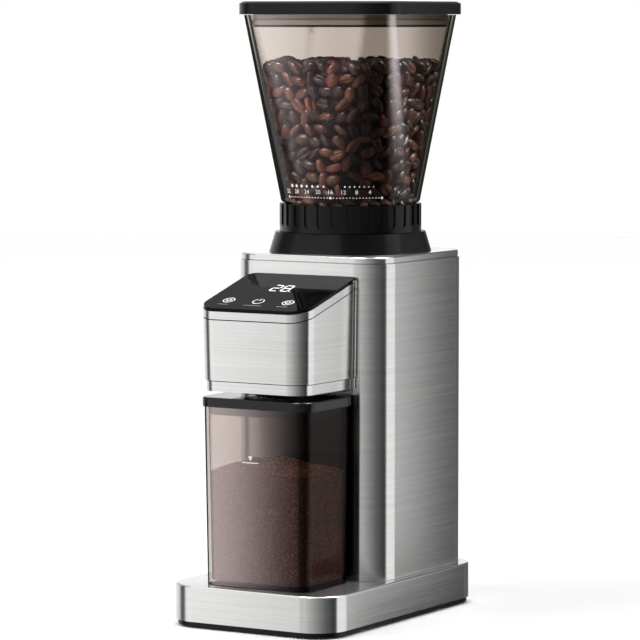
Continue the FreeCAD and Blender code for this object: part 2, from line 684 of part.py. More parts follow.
def bean_fill():
    inset = HOPPER_WALL + SLIDE_GAP
    throat = disc(HOPPER_NECK_RADIUS - inset, NECK_Z, HEEL_Z + SLIDE_GAP)
    return fuse([hopper_loft(HEEL_Z + SLIDE_GAP, HOPPER_Z + BEAN_LEVEL, inset), throat])


def lid_skirt():
    return hopper_section(SKIRT_Z, HOPPER_WALL + LID_SKIRT_WALL)


def hopper_lid():
    brim = square(HOPPER_WIDTH, HOPPER_CORNER).inset(-LID_OVERHANG)
    shoulder = LID_TOP - LID_CROWN
    cover = fuse([brim.prism(LID_Z, shoulder), loft(brim, shoulder, brim.inset(2 * LID_CROWN), LID_TOP)])
    inside = lid_skirt().inset(LID_SKIRT_WALL)
    skirt = lid_skirt().prism(SKIRT_Z, LID_Z).cut(inside.prism(SKIRT_Z, LID_Z))
    return fuse([cover.cut(inside.prism(LID_Z, shoulder - LID_SKIRT_WALL)), skirt])


def lid_seal():
    low = SKIRT_Z + SEAL_HEIGHT / 2
    outer = hopper_section(low, HOPPER_WALL + SLIDE_GAP)
    return outer.prism(low, low + SEAL_HEIGHT).cut(lid_skirt().inset(-SEAT_GAP).prism(low, low + SEAL_HEIGHT))


def hopper_collar():
    foot = square(COLLAR_FOOT_WIDTH, COLLAR_CORNER)
    form = loft(foot, CAP_TOP, square(COLLAR_TOP_WIDTH, COLLAR_CORNER), COLLAR_TOP)
    return form.cut(disc(RING_SKIRT_RADIUS, CAP_TOP, COLLAR_TOP))


def flute():
    """Cutter for one grip flute: a flat-bottomed slot, open at the top and round at its lower end."""
    half = FLUTE_WIDTH / 2
    x = RING_RADIUS - FLUTE_DEPTH
    middle = RING_Z + FLUTE_RIM + half
    left, right = FreeCAD.Vector(x, AXIS_Y - half, middle), FreeCAD.Vector(x, AXIS_Y + half, middle)
    rise = FreeCAD.Vector(0, 0, RING_TOP + CUT_MARGIN - middle)
    edges = [Part.Arc(left, FreeCAD.Vector(x, AXIS_Y, middle - half), right).toShape(),
             Part.makeLine(right, right + rise), Part.makeLine(right + rise, left + rise),
             Part.makeLine(left + rise, left)]
    return Part.Face(Part.Wire(edges)).extrude(FreeCAD.Vector(FLUTE_DEPTH + CUT_MARGIN, 0, 0))


def adjustment_ring():
    """Fluted ring with a guide skirt below, a socket for the hopper's neck and keys for the burr carrier."""
    low = CAP_TOP + RING_SKIRT_CLEARANCE
    guide = RING_SKIRT_RADIUS - RUNNING_GAP
    socket = HOPPER_NECK_RADIUS + SLIDE_GAP
    socket_z = RING_TOP - RING_SOCKET_DEPTH
    body = revolve([(RING_BORE, low), (guide, low), (guide, RING_Z), (RING_RADIUS, RING_Z),
                    (RING_RADIUS, RING_TOP), (socket, RING_TOP), (socket, socket_z), (RING_BORE, socket_z)])
    flutes = [turned(flute(), 360.0 / FLUTE_COUNT * k) for k in range(FLUTE_COUNT)]
    tip = CHAMBER_BORE - SLOT_DEPTH + SLIDE_GAP
    half = KEY_WIDTH / 2
    key = block(tip, RING_BORE + CUT_MARGIN, AXIS_Y - half, AXIS_Y + half, low, low + KEY_HEIGHT)
    keys = [turned(key, 360.0 / KEY_COUNT * k) for k in range(KEY_COUNT)]
    return fuse([body.cut(flutes)] + keys)


CHAMBER_SCREW_PLACES = ring_of(4, CHAMBER_BORE + CHAMBER_WALL + CHAMBER_FLANGE / 2, 45.0)
CHAMBER_Z = FLOOR_Z - BEARING_WIDTH - SEAL_THICKNESS


def grind_chamber():
    outer = CHAMBER_BORE + CHAMBER_WALL
    body = disc(outer, CHAMBER_Z, COLUMN_TOP)
    flange = disc(outer + CHAMBER_FLANGE, COLUMN_TOP - CHAMBER_FLANGE_THICKNESS, COLUMN_TOP)
    half = CHUTE_WIDTH / 2
    outlet = block(-half, half, AXIS_Y - outer - CUT_MARGIN, AXIS_Y - SWEEPER_HUB,
                   FLOOR_Z, FLOOR_Z + OUTLET_HEIGHT)
    cuts = [disc(CHAMBER_BORE, FLOOR_Z, COLUMN_TOP), outlet,
            disc(BEARING_RADIUS + SEAT_GAP, CHAMBER_Z, CHAMBER_Z + BEARING_WIDTH),
            disc(SEAL_RADIUS + SEAT_GAP, CHAMBER_Z, FLOOR_Z)]
    cuts += [disc(SCREW_RADIUS + SEAT_GAP, CHAMBER_Z, COLUMN_TOP, x, y) for x, y in CHAMBER_SCREW_PLACES]
    return fuse([body, flange]).cut(cuts)


def chamber_screws():
    seat = CAP_TOP - SCREW_HEAD_HEIGHT
    return Part.makeCompound([cap_screw(x, y, seat) for x, y in CHAMBER_SCREW_PLACES])


def bearing(low):
    """Shielded ball bearing with the shields set back between its two races."""
    bore = DRIVE_SHAFT_RADIUS + RUNNING_GAP
    race = (BEARING_RADIUS - bore) / 3
    ring = tube(BEARING_RADIUS, bore, low, low + BEARING_WIDTH)
    shield = BEARING_WIDTH / 12
    grooves = [tube(BEARING_RADIUS - race, bore + race, z, z + shield)
               for z in (low, low + BEARING_WIDTH - shield)]
    return ring.cut(grooves)


def shaft_seal():
    return tube(SEAL_RADIUS, DRIVE_SHAFT_RADIUS + RUNNING_GAP, FLOOR_Z - SEAL_THICKNESS, FLOOR_Z)


def star(teeth, tip, root, turn, z):
    """A closed outline of saw teeth, each with one steep and one slow side."""
    step = 360.0 / teeth
    points = []
    for k in range(teeth):
        points.append(around(0.0, AXIS_Y, tip, turn + step * k, z))
        points.append(around(0.0, AXIS_Y, root, turn + step * (k + TOOTH_LEAN), z))
    return Part.makePolygon(points + points[:1])


def inner_burr():
    top = BURR_Z + INNER_BURR_HEIGHT
    low = star(INNER_BURR_TEETH, INNER_BURR_FOOT, INNER_BURR_FOOT - TOOTH_DEPTH, 0.0, BURR_Z)
    high = star(INNER_BURR_TEETH, INNER_BURR_TIP, INNER_BURR_TIP - TOOTH_DEPTH, INNER_BURR_TWIST, top)
    return Part.makeLoft([low, high], True, True).cut(disc(DRIVE_SHAFT_RADIUS + RUNNING_GAP, BURR_Z, top))


RETAINER_Z = BURR_Z + AXIAL_GAP
OUTER_BURR_Z = RETAINER_Z + RETAINER_THICKNESS
OUTER_BURR_TOP = OUTER_BURR_Z + OUTER_BURR_HEIGHT
CARRIER_TOP = CAP_TOP + CARRIER_TOP_MARGIN
RETAINER_SCREW_PLACES = ring_of(3, (OUTER_BURR_RADIUS + CHAMBER_BORE) / 2, 30.0)


def outer_burr():
    tip = INNER_BURR_FOOT + GRIND_GAP
    low = star(OUTER_BURR_TEETH, tip, tip + TOOTH_DEPTH, 0.0, OUTER_BURR_Z)
    high = star(OUTER_BURR_TEETH, OUTER_BURR_THROAT, OUTER_BURR_THROAT + TOOTH_DEPTH, OUTER_BURR_TWIST,
                OUTER_BURR_TOP)
    return disc(OUTER_BURR_RADIUS, OUTER_BURR_Z, OUTER_BURR_TOP).cut(Part.makeLoft([low, high], True, True))


def burr_carrier():
    """Threaded sleeve, left plain, that holds the outer burr and is turned by the ring's keys."""
    outer = CHAMBER_BORE - RUNNING_GAP
    seat = OUTER_BURR_RADIUS + RUNNING_GAP
    shoulder = OUTER_BURR_THROAT + 2 * TOOTH_DEPTH
    body = revolve([(seat, OUTER_BURR_Z), (outer, OUTER_BURR_Z), (outer, CARRIER_TOP),
                    (CARRIER_THROAT, CARRIER_TOP), (shoulder, OUTER_BURR_TOP), (seat, OUTER_BURR_TOP)])
    half = KEY_WIDTH / 2 + SLIDE_GAP
    slot = block(CHAMBER_BORE - SLOT_DEPTH, CHAMBER_BORE + CUT_MARGIN, AXIS_Y - half, AXIS_Y + half,
                 COLUMN_TOP, CARRIER_TOP)
    slots = [turned(slot, 360.0 / KEY_COUNT * k) for k in range(KEY_COUNT)]
    holes = [disc(SCREW_RADIUS + SEAT_GAP, OUTER_BURR_Z, OUTER_BURR_Z + SCREW_LENGTH, x, y)
             for x, y in RETAINER_SCREW_PLACES]
    return body.cut(slots + holes)


def burr_retainer():
    inner = INNER_BURR_FOOT + 2 * GRIND_GAP
    ring = tube(CHAMBER_BORE - 2 * SLIDE_GAP, inner, RETAINER_Z, OUTER_BURR_Z)
    holes = [disc(SCREW_HEAD_RADIUS + SEAT_GAP, RETAINER_Z, OUTER_BURR_Z, x, y)
             for x, y in RETAINER_SCREW_PLACES]
    return ring.cut(holes)


def retainer_screws():
    screws = []
    for x, y in RETAINER_SCREW_PLACES:
        head = disc(SCREW_HEAD_RADIUS, RETAINER_Z, OUTER_BURR_Z, x, y)
        shank = disc(SCREW_RADIUS, OUTER_BURR_Z, OUTER_BURR_Z + SCREW_LENGTH, x, y)
        screws.append(head.fuse(shank).removeSplitter())
    return Part.makeCompound(screws)


BURR_TOP = BURR_Z + INNER_BURR_HEIGHT
SHAFT_LOW = OUTPUT_Z - AXIAL_GAP


def drive_shaft():
    hole = disc(SCREW_RADIUS + SEAT_GAP, BURR_TOP - SCREW_LENGTH, BURR_TOP)
    return disc(DRIVE_SHAFT_RADIUS, SHAFT_LOW, BURR_TOP).cut(hole)


def burr_screw():
    washer = disc(INNER_BURR_TIP - TOOTH_DEPTH, BURR_TOP, BURR_TOP + SCREW_HEAD_HEIGHT / 2)
    return fuse([washer, cap_screw(0.0, AXIS_Y, BURR_TOP)])


def sweeper():
    """Hub with flat arms that push the grounds round to the outlet."""
    low = FLOOR_Z + AXIAL_GAP
    half = SWEEPER_ARM_WIDTH / 2
    arm = block(0.0, CHAMBER_BORE, AXIS_Y - half, AXIS_Y + half, low, low + SWEEPER_HEIGHT)
    arms = [turned(arm, 360.0 / SWEEPER_ARMS * k + SWEEPER_START) for k in range(SWEEPER_ARMS)]
    hub = disc(SWEEPER_HUB, low, BURR_Z)
    reach = disc(CHAMBER_BORE - 2 * SLIDE_GAP, low, BURR_Z)
    return fuse([hub] + arms).common(reach).cut(disc(DRIVE_SHAFT_RADIUS + RUNNING_GAP, low, BURR_Z))


def spur_gear(teeth, module, low, high, x, y, phase):
    """Spur gear with involute flanks drawn as arcs, one tooth centred on the phase angle."""
    pitch = module * teeth / 2
    outer = pitch + ADDENDUM * module
    root = pitch - DEDENDUM * module
    base = pitch * math.cos(PRESSURE_ANGLE)

    def half_angle(radius):
        roll = math.acos(min(base / radius, 1.0))
        start = math.pi / (2 * teeth) - TOOTH_THINNING / (2 * pitch)
        return math.degrees(start + math.tan(PRESSURE_ANGLE) - PRESSURE_ANGLE - math.tan(roll) + roll)

    def point(radius, degrees):
        return around(x, y, radius, phase + degrees, low)

    foot = max(root, base)
    radii = (foot, (foot + outer) / 2, outer)
    step = 360.0 / teeth
    edges = []
    for k in range(teeth):
        middle = step * k
        rise = [point(r, middle - half_angle(r)) for r in radii]
        fall = [point(r, middle + half_angle(r)) for r in reversed(radii)]
        left = point(root, middle - half_angle(foot))
        right = point(root, middle + half_angle(foot))
        if root < base:
            edges.append(Part.makeLine(left, rise[0]))
        edges.append(Part.Arc(*rise).toShape())
        edges.append(Part.Arc(rise[2], point(outer, middle), fall[0]).toShape())
        edges.append(Part.Arc(*fall).toShape())
        if root < base:
            edges.append(Part.makeLine(fall[2], right))
        next_left = point(root, middle + step - half_angle(foot))
        start = right if root < base else fall[2]
        edges.append(Part.Arc(start, point(root, middle + step / 2), next_left).toShape())
    return Part.Face(Part.Wire(edges)).extrude(FreeCAD.Vector(0, 0, high - low))


MOTOR_SHAFT_TOP = WHEEL_Z + WHEEL_FACE + AXIAL_GAP


def motor_pinion():
    low = WHEEL_Z - AXIAL_GAP
    gear = spur_gear(MOTOR_TEETH, WHEEL_MODULE, low, MOTOR_SHAFT_TOP, 0.0, AXIS_Y, IDLER_ANGLE)
    return gear.cut(disc(MOTOR_SHAFT_RADIUS + RUNNING_GAP, low, MOTOR_SHAFT_TOP))


def idler_gear():
    """Compound gear: the wheel driven by the motor and the small gear that drives the output."""
    back = IDLER_ANGLE + 180.0
    wheel_top = WHEEL_Z + WHEEL_FACE
    wheel = spur_gear(WHEEL_TEETH, WHEEL_MODULE, WHEEL_Z, wheel_top, IDLER_X, IDLER_Y,
                      back + 180.0 / WHEEL_TEETH)
    small = spur_gear(IDLER_TEETH, GEAR_MODULE, wheel_top, IDLER_TOP, IDLER_X, IDLER_Y, back)
    bore = disc(IDLER_PIN_RADIUS + RUNNING_GAP, WHEEL_Z, IDLER_TOP, IDLER_X, IDLER_Y)
    return fuse([wheel, small]).cut(bore)


def output_gear():
    top = OUTPUT_Z + OUTPUT_FACE
    phase = IDLER_ANGLE + 180.0 / OUTPUT_TEETH
    gear = spur_gear(OUTPUT_TEETH, GEAR_MODULE, OUTPUT_Z, top, 0.0, AXIS_Y, phase)
    rim = GEAR_MODULE * OUTPUT_TEETH / 2 - 3 * GEAR_MODULE
    recess = tube(rim, 2 * DRIVE_SHAFT_RADIUS, top - OUTPUT_FACE / 3, top)
    return gear.cut([recess, disc(DRIVE_SHAFT_RADIUS + RUNNING_GAP, OUTPUT_Z, top)])


def idler_pin():
    return disc(IDLER_PIN_RADIUS, CHASSIS_Z, ROOF_TOP - AXIAL_GAP, IDLER_X, IDLER_Y)


WHEEL_RADIUS = WHEEL_MODULE * (WHEEL_TEETH / 2 + ADDENDUM)
OUTPUT_RADIUS = GEAR_MODULE * (OUTPUT_TEETH / 2 + ADDENDUM)
GEARBOX_RADIUS = max(WHEEL_RADIUS, OUTPUT_RADIUS) + GEARBOX_ROOM


def gearbox_form(radius, low, high):
    """A prism whose plan is two equal circles, on the drive axis and the idler pin, and their tangents."""
    a = IDLER_ANGLE
    arcs = [[around(IDLER_X, IDLER_Y, radius, a + turn, low) for turn in (-90, 0, 90)],
            [around(0.0, AXIS_Y, radius, a + turn, low) for turn in (90, 180, 270)]]
    edges = [Part.Arc(*arcs[0]).toShape(), Part.makeLine(arcs[0][2], arcs[1][0]),
             Part.Arc(*arcs[1]).toShape(), Part.makeLine(arcs[1][2], arcs[0][0])]
    return Part.Face(Part.Wire(edges)).extrude(FreeCAD.Vector(0, 0, high - low))


def gearbox_ears():
    reach = GEARBOX_RADIUS + GEARBOX_WALL + SCREW_HEAD_RADIUS
    sides = [around(IDLER_X / 2, (AXIS_Y + IDLER_Y) / 2, reach, IDLER_ANGLE + turn) for turn in (-90, 90)]
    return [(p.x, p.y) for p in sides + [around(0.0, AXIS_Y, reach, IDLER_ANGLE + 180)]]


EAR_TOP = CHASSIS_TOP + GEARBOX_ROOF


def gearbox_cover():
    outer = gearbox_form(GEARBOX_RADIUS + GEARBOX_WALL, CHASSIS_TOP, ROOF_TOP)
    boss = disc(BEARING_RADIUS + SEAT_GAP + GEARBOX_WALL, ROOF_TOP, ROOF_TOP + BEARING_WIDTH)
    ears = [disc(2 * SCREW_HEAD_RADIUS, CHASSIS_TOP, EAR_TOP, x, y) for x, y in gearbox_ears()]
    cuts = [gearbox_form(GEARBOX_RADIUS, CHASSIS_TOP, ROOF_Z),
            disc(BEARING_RADIUS + SEAT_GAP, ROOF_TOP, ROOF_TOP + BEARING_WIDTH),
            disc(2 * DRIVE_SHAFT_RADIUS, ROOF_Z, ROOF_TOP),
            disc(IDLER_PIN_RADIUS + SEAT_GAP, ROOF_Z, ROOF_TOP - AXIAL_GAP, IDLER_X, IDLER_Y)]
    cuts += [disc(SCREW_RADIUS + SEAT_GAP, CHASSIS_TOP, EAR_TOP, x, y) for x, y in gearbox_ears()]
    return fuse([outer, boss] + ears).cut(cuts)


def gearbox_screws():
    length = GEARBOX_ROOF + CHASSIS_THICKNESS
    return Part.makeCompound([cap_screw(x, y, EAR_TOP, length) for x, y in gearbox_ears()])


MOTOR_SCREW_PLACES = ring_of(3, MOTOR_SCREW_RADIUS)


def chassis():
    """Plate on four legs that stand on the tray and carry the motor below and the gearbox above."""
    plate = COLUMN_INSIDE.inset(AXIAL_GAP).prism(CHASSIS_Z, CHASSIS_TOP)
    legs = [disc(LEG_RADIUS, DECK_Z, CHASSIS_Z, x, y) for x, y in corners_of(COLUMN_INSIDE, LEG_INSET)]
    boss = disc(2 * IDLER_PIN_RADIUS, CHASSIS_TOP, CHASSIS_TOP + IDLER_BOSS, IDLER_X, IDLER_Y)
    cuts = [disc(MOTOR_BOSS_RADIUS + SEAT_GAP, CHASSIS_Z, CHASSIS_TOP),
            disc(IDLER_PIN_RADIUS + SEAT_GAP, CHASSIS_Z, CHASSIS_TOP + IDLER_BOSS, IDLER_X, IDLER_Y)]
    places = MOTOR_SCREW_PLACES + gearbox_ears()
    cuts += [disc(SCREW_RADIUS + SEAT_GAP, CHASSIS_Z, CHASSIS_TOP, x, y) for x, y in places]
    return fuse([plate, boss] + legs).cut(cuts)


ARMATURE_LOW = CAN_Z + WINDING_ROOM_LOW
ARMATURE_HIGH = CAN_TOP - WINDING_ROOM_HIGH
CAN_INSIDE = MOTOR_RADIUS - MOTOR_WALL


def motor_can():
    cup = disc(MOTOR_RADIUS, CAN_Z, CAN_TOP).cut(disc(CAN_INSIDE, CAN_Z + MOTOR_WALL, CAN_TOP))
    pivot = disc(MOTOR_BOSS_RADIUS, CAN_Z, CAN_Z + MOTOR_BOSS_HEIGHT)
    return fuse([cup, pivot]).cut(disc(MOTOR_SHAFT_RADIUS + RUNNING_GAP, CAN_Z, CAN_TOP))


def motor_end_cap():
    cap = fuse([disc(MOTOR_RADIUS, CAN_TOP, CHASSIS_Z), disc(MOTOR_BOSS_RADIUS, CHASSIS_Z, CHASSIS_TOP)])
    holes = [disc(SCREW_RADIUS + SEAT_GAP, CAN_TOP, CHASSIS_Z, x, y) for x, y in MOTOR_SCREW_PLACES]
    return cap.cut(holes + [disc(MOTOR_SHAFT_RADIUS + RUNNING_GAP, CAN_TOP, CHASSIS_TOP)])


def motor_screws():
    length = CHASSIS_THICKNESS + MOTOR_CAP_THICKNESS
    return Part.makeCompound([cap_screw(x, y, CHASSIS_TOP, length) for x, y in MOTOR_SCREW_PLACES])


def motor_magnets():
    outer = CAN_INSIDE - SEAT_GAP
    ring = tube(outer, outer - MAGNET_THICKNESS, ARMATURE_LOW, ARMATURE_HIGH)
    half = MAGNET_SPLIT / 2
    gap = block(-half, half, AXIS_Y - MOTOR_RADIUS, AXIS_Y + MOTOR_RADIUS, ARMATURE_LOW, ARMATURE_HIGH)
    return Part.makeCompound(ring.cut(gap).Solids)


def motor_shaft():
    return disc(MOTOR_SHAFT_RADIUS, CAN_Z, MOTOR_SHAFT_TOP)


def armature():
    radius = CAN_INSIDE - SEAT_GAP - MAGNET_THICKNESS - ARMATURE_GAP
    core = disc(radius, ARMATURE_LOW, ARMATURE_HIGH)
    half = ARMATURE_SLOT_WIDTH / 2
    slot = block(radius / 2, radius + CUT_MARGIN, AXIS_Y - half, AXIS_Y + half, ARMATURE_LOW, ARMATURE_HIGH)
    slots = [turned(slot, 360.0 / ARMATURE_SLOTS * k) for k in range(ARMATURE_SLOTS)]
    return core.cut(slots + [disc(MOTOR_SHAFT_RADIUS + RUNNING_GAP, ARMATURE_LOW, ARMATURE_HIGH)])


def lower_bearing():
    return bearing(ROOF_TOP)


def upper_bearing():
    return bearing(CHAMBER_Z)


PIECES = [
    rubber_feet, base_plate, base_plate_screws, base_tray, column_shell, column_cap, cord_gland,
    head_shell, head_top_trim, head_bottom_trim, head_underside, control_panel, touch_board, display_module,
    spout, chute, power_board, grounds_container, container_lid, ground_coffee,
    hopper, bean_fill, hopper_lid, lid_seal, hopper_collar, adjustment_ring,
    grind_chamber, chamber_screws, upper_bearing, lower_bearing, shaft_seal,
    inner_burr, outer_burr, burr_carrier, burr_retainer, retainer_screws, drive_shaft, burr_screw, sweeper,
    motor_pinion, idler_gear, output_gear, idler_pin, gearbox_cover, gearbox_screws, chassis,
    motor_can, motor_end_cap, motor_screws, motor_magnets, motor_shaft, armature,
]


def main():
    os.makedirs("parts", exist_ok=True)
    for piece in PIECES:
        piece().exportStep(os.path.join("parts", piece.__name__ + ".step"))


main()
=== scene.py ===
"""Looks of a burr coffee grinder: finishes, loose beans and grounds, printing, and the studio around it."""

import json
import logging
import math
from collections.abc import Callable
from dataclasses import dataclass, replace
from enum import Enum

import bmesh
import bpy
from mathutils import Matrix, Vector
from mathutils.bvhtree import BVHTree


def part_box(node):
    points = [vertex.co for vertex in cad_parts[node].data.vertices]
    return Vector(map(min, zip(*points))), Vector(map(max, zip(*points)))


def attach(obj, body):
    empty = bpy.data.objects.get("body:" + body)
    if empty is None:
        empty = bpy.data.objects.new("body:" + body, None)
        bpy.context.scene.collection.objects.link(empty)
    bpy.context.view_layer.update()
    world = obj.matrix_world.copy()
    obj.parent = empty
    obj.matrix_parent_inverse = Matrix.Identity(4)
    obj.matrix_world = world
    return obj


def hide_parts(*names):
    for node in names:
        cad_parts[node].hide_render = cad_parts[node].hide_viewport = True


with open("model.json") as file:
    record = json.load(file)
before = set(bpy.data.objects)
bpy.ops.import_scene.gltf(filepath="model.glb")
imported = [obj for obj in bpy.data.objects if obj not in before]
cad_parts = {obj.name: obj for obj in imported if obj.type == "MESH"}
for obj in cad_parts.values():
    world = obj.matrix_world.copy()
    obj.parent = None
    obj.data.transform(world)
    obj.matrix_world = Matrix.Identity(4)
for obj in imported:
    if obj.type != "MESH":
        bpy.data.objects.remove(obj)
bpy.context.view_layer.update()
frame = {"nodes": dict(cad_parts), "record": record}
LOG = logging.getLogger("grinder")
MM = 0.001
FINE_RELIEF = 0.1 * MM
METAL_RELIEF = 0.2 * MM
GROUNDS_RELIEF = 0.5 * MM
BEAN_RELIEF = 2.0 * MM

Pair = tuple[float, float]
Triple = tuple[float, float, float]
Colour = Triple
Stops = tuple[tuple[float, "float | Colour"], ...]
Value = "float | Colour | Signal"


def scaled(colour: Colour, by: float) -> Colour:
    """Returns a colour made lighter or darker by a factor."""
    return tuple(by * part for part in colour)


def new_object(name: str, data: bpy.types.ID) -> bpy.types.Object:
    """Adds an object to the scene.

    Args:
        name: Its name.
        data: Its mesh, curve, lamp or camera.

    Returns:
        The object, at the origin.
    """
    made = bpy.data.objects.new(name, data)
    bpy.context.scene.collection.objects.link(made)
    return made


def to_mesh(work: bmesh.types.BMesh, name: str) -> bpy.types.Mesh:
    """Ends the work on a shape.

    Args:
        work: The shape, which is freed.
        name: The mesh's name.

    Returns:
        The shape as a mesh.
    """
    mesh = bpy.data.meshes.new(name)
    work.to_mesh(mesh)
    work.free()
    return mesh


def baked(carrier: bpy.types.Object) -> bpy.types.Mesh:
    """Returns what an object shows, as a plain mesh."""
    depsgraph = bpy.context.evaluated_depsgraph_get()
    return bpy.data.meshes.new_from_object(carrier.evaluated_get(depsgraph), depsgraph=depsgraph)


class Signal:
    """An output socket of a node tree that takes part in Python arithmetic by adding Math nodes."""

    def __init__(self, graph: "Graph", socket: bpy.types.NodeSocket) -> None:
        """Wraps one output socket of a graph."""
        self.graph = graph
        self.socket = socket

    def _math(self, operation: str, first: Value, second: Value) -> "Signal":
        """Returns the result of a Math node on two values."""
        return self.graph.add("ShaderNodeMath", {"operation": operation}, {0: first, 1: second})

    def __add__(self, other: Value) -> "Signal":
        """Returns self + other."""
        return self._math("ADD", self, other)

    def __sub__(self, other: Value) -> "Signal":
        """Returns self - other."""
        return self._math("SUBTRACT", self, other)

    def __rsub__(self, other: Value) -> "Signal":
        """Returns other - self."""
        return self._math("SUBTRACT", other, self)

    def __mul__(self, other: Value) -> "Signal":
        """Returns self * other."""
        return self._math("MULTIPLY", self, other)

    def __truediv__(self, other: Value) -> "Signal":
        """Returns self / other."""
        return self._math("DIVIDE", self, other)

    def __rtruediv__(self, other: Value) -> "Signal":
        """Returns other / self."""
        return self._math("DIVIDE", other, self)

    def __pow__(self, other: Value) -> "Signal":
        """Returns self ** other."""
        return self._math("POWER", self, other)

    __radd__ = __add__
    __rmul__ = __mul__

    def step(self, low: float, high: float) -> "Signal":
        """Returns a value that rises smoothly from 0 at low to 1 at high."""
        sockets = {"Value": self, "From Min": low, "From Max": high}
        return self.graph.add("ShaderNodeMapRange", {"interpolation_type": "SMOOTHSTEP"}, sockets)


class Graph:
    """A node tree, of a material, a world or Geometry Nodes, that adds every node through one method."""

    def __init__(self, tree: bpy.types.NodeTree) -> None:
        """Takes over an existing tree."""
        self.tree = tree

    def add(self, kind: str, settings: dict, sockets: dict, output: "int | str" = 0) -> "Signal | None":
        """Adds a node.

        Args:
            kind: The node's type.
            settings: Its properties, set first; "stops" holds a colour ramp's positions and colours.
            sockets: Values or signals for its inputs, by name or number.
            output: The output that is returned, by name or number.

        Returns:
            The chosen output, or None from a node that has no outputs.
        """
        node = self.tree.nodes.new(kind)
        for name, value in settings.items():
            if name == "stops":
                self._fill_ramp(node.color_ramp, value)
            else:
                setattr(node, name, value)
        for key, value in sockets.items():
            socket = node.inputs[key]
            if isinstance(value, Signal):
                self.tree.links.new(value.socket, socket)
            elif socket.type == "RGBA":
                socket.default_value = (*value, 1.0)
            else:
                socket.default_value = value
        return Signal(self, node.outputs[output]) if len(node.outputs) else None

    @staticmethod
    def _fill_ramp(ramp: bpy.types.ColorRamp, stops: Stops) -> None:
        """Sets a colour ramp's stops.

        Args:
            ramp: The ramp.
            stops: Pairs of a position and a colour, or a grey.
        """
        while len(ramp.elements) < len(stops):
            ramp.elements.new(1.0)
        for element, (position, colour) in zip(ramp.elements, stops):
            element.position = position
            element.color = (*colour, 1.0) if isinstance(colour, tuple) else (colour, colour, colour, 1.0)

    def place(self, scale: Colour = (1.0, 1.0, 1.0)) -> Signal:
        """Returns the Object coordinates, stretched by a scale."""
        spot = self.add("ShaderNodeTexCoord", {}, {}, "Object")
        return self.add("ShaderNodeMapping", {}, {"Vector": spot, "Scale": scale})

    def split(self, vector: Signal) -> tuple[Signal, Signal, Signal]:
        """Returns a vector's three parts."""
        node = self.add("ShaderNodeSeparateXYZ", {}, {0: vector}).socket.node
        return tuple(Signal(self, out) for out in node.outputs)

    def layer(self, share: Value, under: Signal, over: Signal) -> Signal:
        """Returns a mix of two shaders, with a share of the one that lies over the other."""
        return self.add("ShaderNodeMixShader", {}, {0: share, 1: under, 2: over})

    def clear(self, tint: Colour) -> Signal:
        """Returns a shader that lets light through, tinted."""
        return self.add("ShaderNodeBsdfTransparent", {}, {"Color": tint})

    def noise(self, vector: Signal, scale: float, detail: float = 2.0, rough: float = 0.5) -> Signal:
        """Returns a noise between 0 and 1, with its scale in cycles for a metre."""
        return self.add("ShaderNodeTexNoise", {},
                        {"Vector": vector, "Scale": scale, "Detail": detail, "Roughness": rough})

    def ramp(self, share: Signal, stops: Stops) -> Signal:
        """Returns the colour that a ramp has at a share of its length."""
        return self.add("ShaderNodeValToRGB", {"stops": stops}, {0: share})

    def random(self, kind: str, low: Value, high: Value, seed: Signal) -> Signal:
        """Adds a random value, drawn anew for each copy.

        Args:
            kind: FLOAT or FLOAT_VECTOR.
            low: The least value.
            high: The largest value.
            seed: The seed.

        Returns:
            The value.
        """
        first, output = (0, 0) if kind == "FLOAT_VECTOR" else (2, 1)
        sockets = {first: low, first + 1: high, "Seed": seed}
        return self.add("FunctionNodeRandomValue", {"data_type": kind}, sockets, output)

    def mix(self, share: Value, first: Value, second: Value) -> Signal:
        """Returns a blend of two colours, with a share of the second."""
        return self.add("ShaderNodeMix", {"data_type": "RGBA"}, {0: share, 6: first, 7: second}, 2)

    def bump(self, height: Signal, strength: float, distance: float) -> Signal:
        """Returns the normal of a height that stands out by a distance, in metres, where it is 1."""
        sockets = {"Height": height, "Strength": strength, "Distance": distance}
        return self.add("ShaderNodeBump", {}, sockets)

    def attribute(self, name: str) -> Signal:
        """Returns the number stored on the mesh under a name."""
        return self.add("ShaderNodeAttribute", {"attribute_name": name}, {}, "Fac")

    def surface(self, **sockets: Value) -> Signal:
        """Returns the surface shader, whose inputs are written with underscores for spaces."""
        spaced = {name.replace("_", " "): value for name, value in sockets.items()}
        return self.add("ShaderNodeBsdfPrincipled", {}, spaced)

    def output(self, shader: Signal) -> None:
        """Sends a shader to the material's output."""
        self.add("ShaderNodeOutputMaterial", {}, {"Surface": shader})


@dataclass(frozen=True)
class Finish:
    """A surface finish that makes its material once."""

    name: str

    def material(self) -> bpy.types.Material:
        """Makes the finish's material at the first call.

        Returns:
            The material.
        """
        made = bpy.data.materials.get(self.name)
        if made is None:
            made = bpy.data.materials.new(self.name)
            made.use_nodes = True
            made.node_tree.nodes.clear()
            graph = Graph(made.node_tree)
            graph.output(self.shade(graph))
        return made

    def shade(self, graph: Graph) -> Signal:
        """Builds the finish's shader in a graph."""
        raise NotImplementedError


